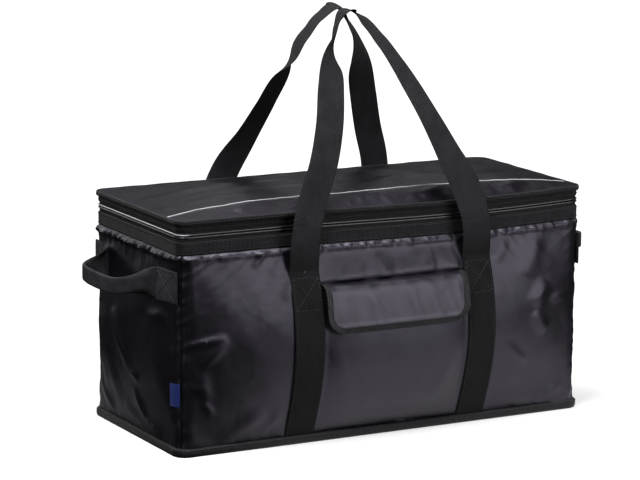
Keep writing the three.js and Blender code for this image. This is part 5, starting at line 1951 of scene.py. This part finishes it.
@dataclass
class Studio:
    """The camera, a flat pale floor, and soft lights."""

    yaw: float = 28.2
    pitch: float = 11.1
    roll: float = 0.36
    lens: float = 171.84
    place: tuple[float, float, float] = (-2.097, -3.852, 1.117)
    paper_place: tuple[float, float] = (0.05, -0.6)
    paper_half: tuple[float, float] = (0.46, 1.1)
    paper_shear: float = 0.5
    dim: float = 0.04

    def camera(self) -> None:
        """A long lens at the photograph's place and angle."""
        yaw = math.radians(self.yaw)
        pitch = math.radians(self.pitch)
        roll = math.radians(self.roll)
        ahead = Vector((math.sin(yaw) * math.cos(pitch), math.cos(yaw) * math.cos(pitch), -math.sin(pitch)))
        right = Vector((math.cos(yaw), -math.sin(yaw), 0))
        up = right.cross(ahead)
        level = right * math.cos(roll) + up * math.sin(roll)
        top = up * math.cos(roll) - right * math.sin(roll)
        data = bpy.data.cameras.new("camera")
        data.lens = self.lens
        data.sensor_width = 36
        data.clip_end = 100
        made = bpy.data.objects.new("camera", data)
        made.matrix_world = Matrix.Translation(self.place) @ Matrix((level, top, -ahead)).transposed().to_4x4()
        bpy.context.scene.collection.objects.link(made)
        bpy.context.scene.camera = made

    def floor(self) -> None:
        """A sheet of white paper under the bag, slanted with the camera's mirrored line.

        Its outline is a square with round corners: the fourth powers of its two shares add
        up to one. It is then sheared, so that it runs on to the right in front of the bag and
        to the left behind it.
        """
        angle = np.linspace(0, 2 * math.pi, 97)[:-1]
        corner = (np.cos(angle) ** 4 + np.sin(angle) ** 4) ** -0.25
        reach = np.linspace(0.02, 1, 8)[None, :] * corner[:, None]
        y = self.paper_place[1] + self.paper_half[1] * reach * np.sin(angle)[:, None]
        x = self.paper_place[0] + self.paper_half[0] * reach * np.cos(angle)[:, None] - self.paper_shear * y
        top = np.stack([x, y, np.full_like(x, -0.0002)], axis=-1)
        index = np.arange(x.size).reshape(x.shape)
        around = np.concatenate([index, index[:1]], axis=0)
        faces = quads(around).tolist() + [index[:, 0].tolist()]
        mesh = bpy.data.meshes.new("studio_floor")
        mesh.from_pydata(top.reshape(-1, 3).tolist(), [], faces)
        mesh.update()
        shares = mesh.attributes.new("reach", "FLOAT", "POINT")
        shares.data.foreach_set("value", np.broadcast_to(np.linspace(0.02, 1, 8), x.shape).astype(np.float32).ravel())
        made = bpy.data.objects.new("studio_floor", mesh)
        bpy.context.scene.collection.objects.link(made)
        made.data.materials.append(self.paper())

    def paper(self) -> bpy.types.Material:
        """Matt white paper that fades into the white backdrop towards its edge."""
        made = bpy.data.materials.new("matt_paper")
        made.use_nodes = True
        tree = made.node_tree
        tree.nodes.clear()
        reach = add_node(tree, "ShaderNodeAttribute", attribute_name="reach")
        shown = add_node(
            tree,
            "ShaderNodeMapRange",
            {"Value": reach.outputs["Fac"], "From Min": 0.62, "From Max": 1.0, "To Min": 1.0, "To Max": 0.0},
            interpolation_type="SMOOTHSTEP",
        )
        shader = add_node(
            tree,
            "ShaderNodeBsdfPrincipled",
            {
                "Base Color": linear("#989898"),
                "Roughness": 0.9,
                "Specular IOR Level": 0.1,
                "Emission Color": (1.0, 1.0, 1.0, 1.0),
                "Emission Strength": 0.45,
                "Alpha": shown.outputs[0],
            },
        )
        add_node(tree, "ShaderNodeOutputMaterial", {"Surface": shader.outputs[0]})
        return made

    def light(self, box: Softbox) -> None:
        """Hangs one rectangular soft light, facing its aim."""
        data = bpy.data.lights.new(box.name, "AREA")
        data.shape = "RECTANGLE"
        data.size, data.size_y = box.size
        data.energy = box.radiance * math.pi * box.size[0] * box.size[1]
        made = bpy.data.objects.new(box.name, data)
        made.location = box.place
        made.rotation_euler = (Vector(box.aim) - Vector(box.place)).to_track_quat("-Z", "Y").to_euler()
        made.visible_camera = False
        bpy.context.scene.collection.objects.link(made)

    def surround(self) -> None:
        """A dim room round the bag, with a white backdrop where the picture looks past it."""
        world = bpy.data.worlds.new("surround")
        world.use_nodes = True
        tree = world.node_tree
        tree.nodes.clear()
        path = add_node(tree, "ShaderNodeLightPath")
        strength = add_node(
            tree,
            "ShaderNodeMath",
            {0: path.outputs["Is Camera Ray"], 1: 1.0 - self.dim, 2: self.dim},
            operation="MULTIPLY_ADD",
        )
        room = add_node(
            tree, "ShaderNodeBackground", {"Color": (1.0, 1.0, 1.0, 1.0), "Strength": strength.outputs[0]}
        )
        add_node(tree, "ShaderNodeOutputWorld", {"Surface": room.outputs[0]})
        bpy.context.scene.world = world

    def build(self) -> None:
        """Camera, floor, lights and a dim surround."""
        self.camera()
        self.floor()
        for box in SOFTBOXES:
            self.light(box)
        self.surround()
        view = bpy.context.scene.view_settings
        view.view_transform = "Standard"
        view.look = "Medium High Contrast"


def main() -> None:
    """Builds the studio and every sub-assembly."""
    logging.basicConfig(level=logging.INFO, format="%(message)s")
    Studio().build()
    finishes = Finishes()
    Walls(finishes).build()
    Edges(finishes).build()
    Lid(finishes).build()
    LongHandle(
        finishes,
        Side.FRONT,
        inward_shares=(0, -0.03, 0, 0.08, 0.225, 0.455, 0.6, 0.8, 0.94, 1),
        skew=-3 * MM,
        roll_up=(0, 0, 0, 0, 0, 2, 12, 58, 66, 90),
        roll_down=(180, 180, 180, 163, 152, 146, 140, 132, 118, 90),
        lift=1.8 * MM,
    ).build()
    LongHandle(
        finishes,
        Side.BACK,
        inward_shares=(0, -0.03, 0, 0.12, 0.29, 0.5, 0.63, 0.81, 0.94, 1),
        skew=20 * MM,
        roll_up=(0, 0, 0, 20, 27, 37, 74, 76, 80, 90),
        roll_down=(180, 180, 180, 180, 180, 172, 148, 121, 117, 90),
        lift=0.3 * MM,
    ).build()
    GrabHandle(finishes, Side.LEFT).build()
    GrabHandle(finishes, Side.RIGHT).build()
    Pocket(finishes).build()
    SideLabel(finishes).build()
    ZipSliders(finishes).build()


if __name__ == "__main__":
    main()
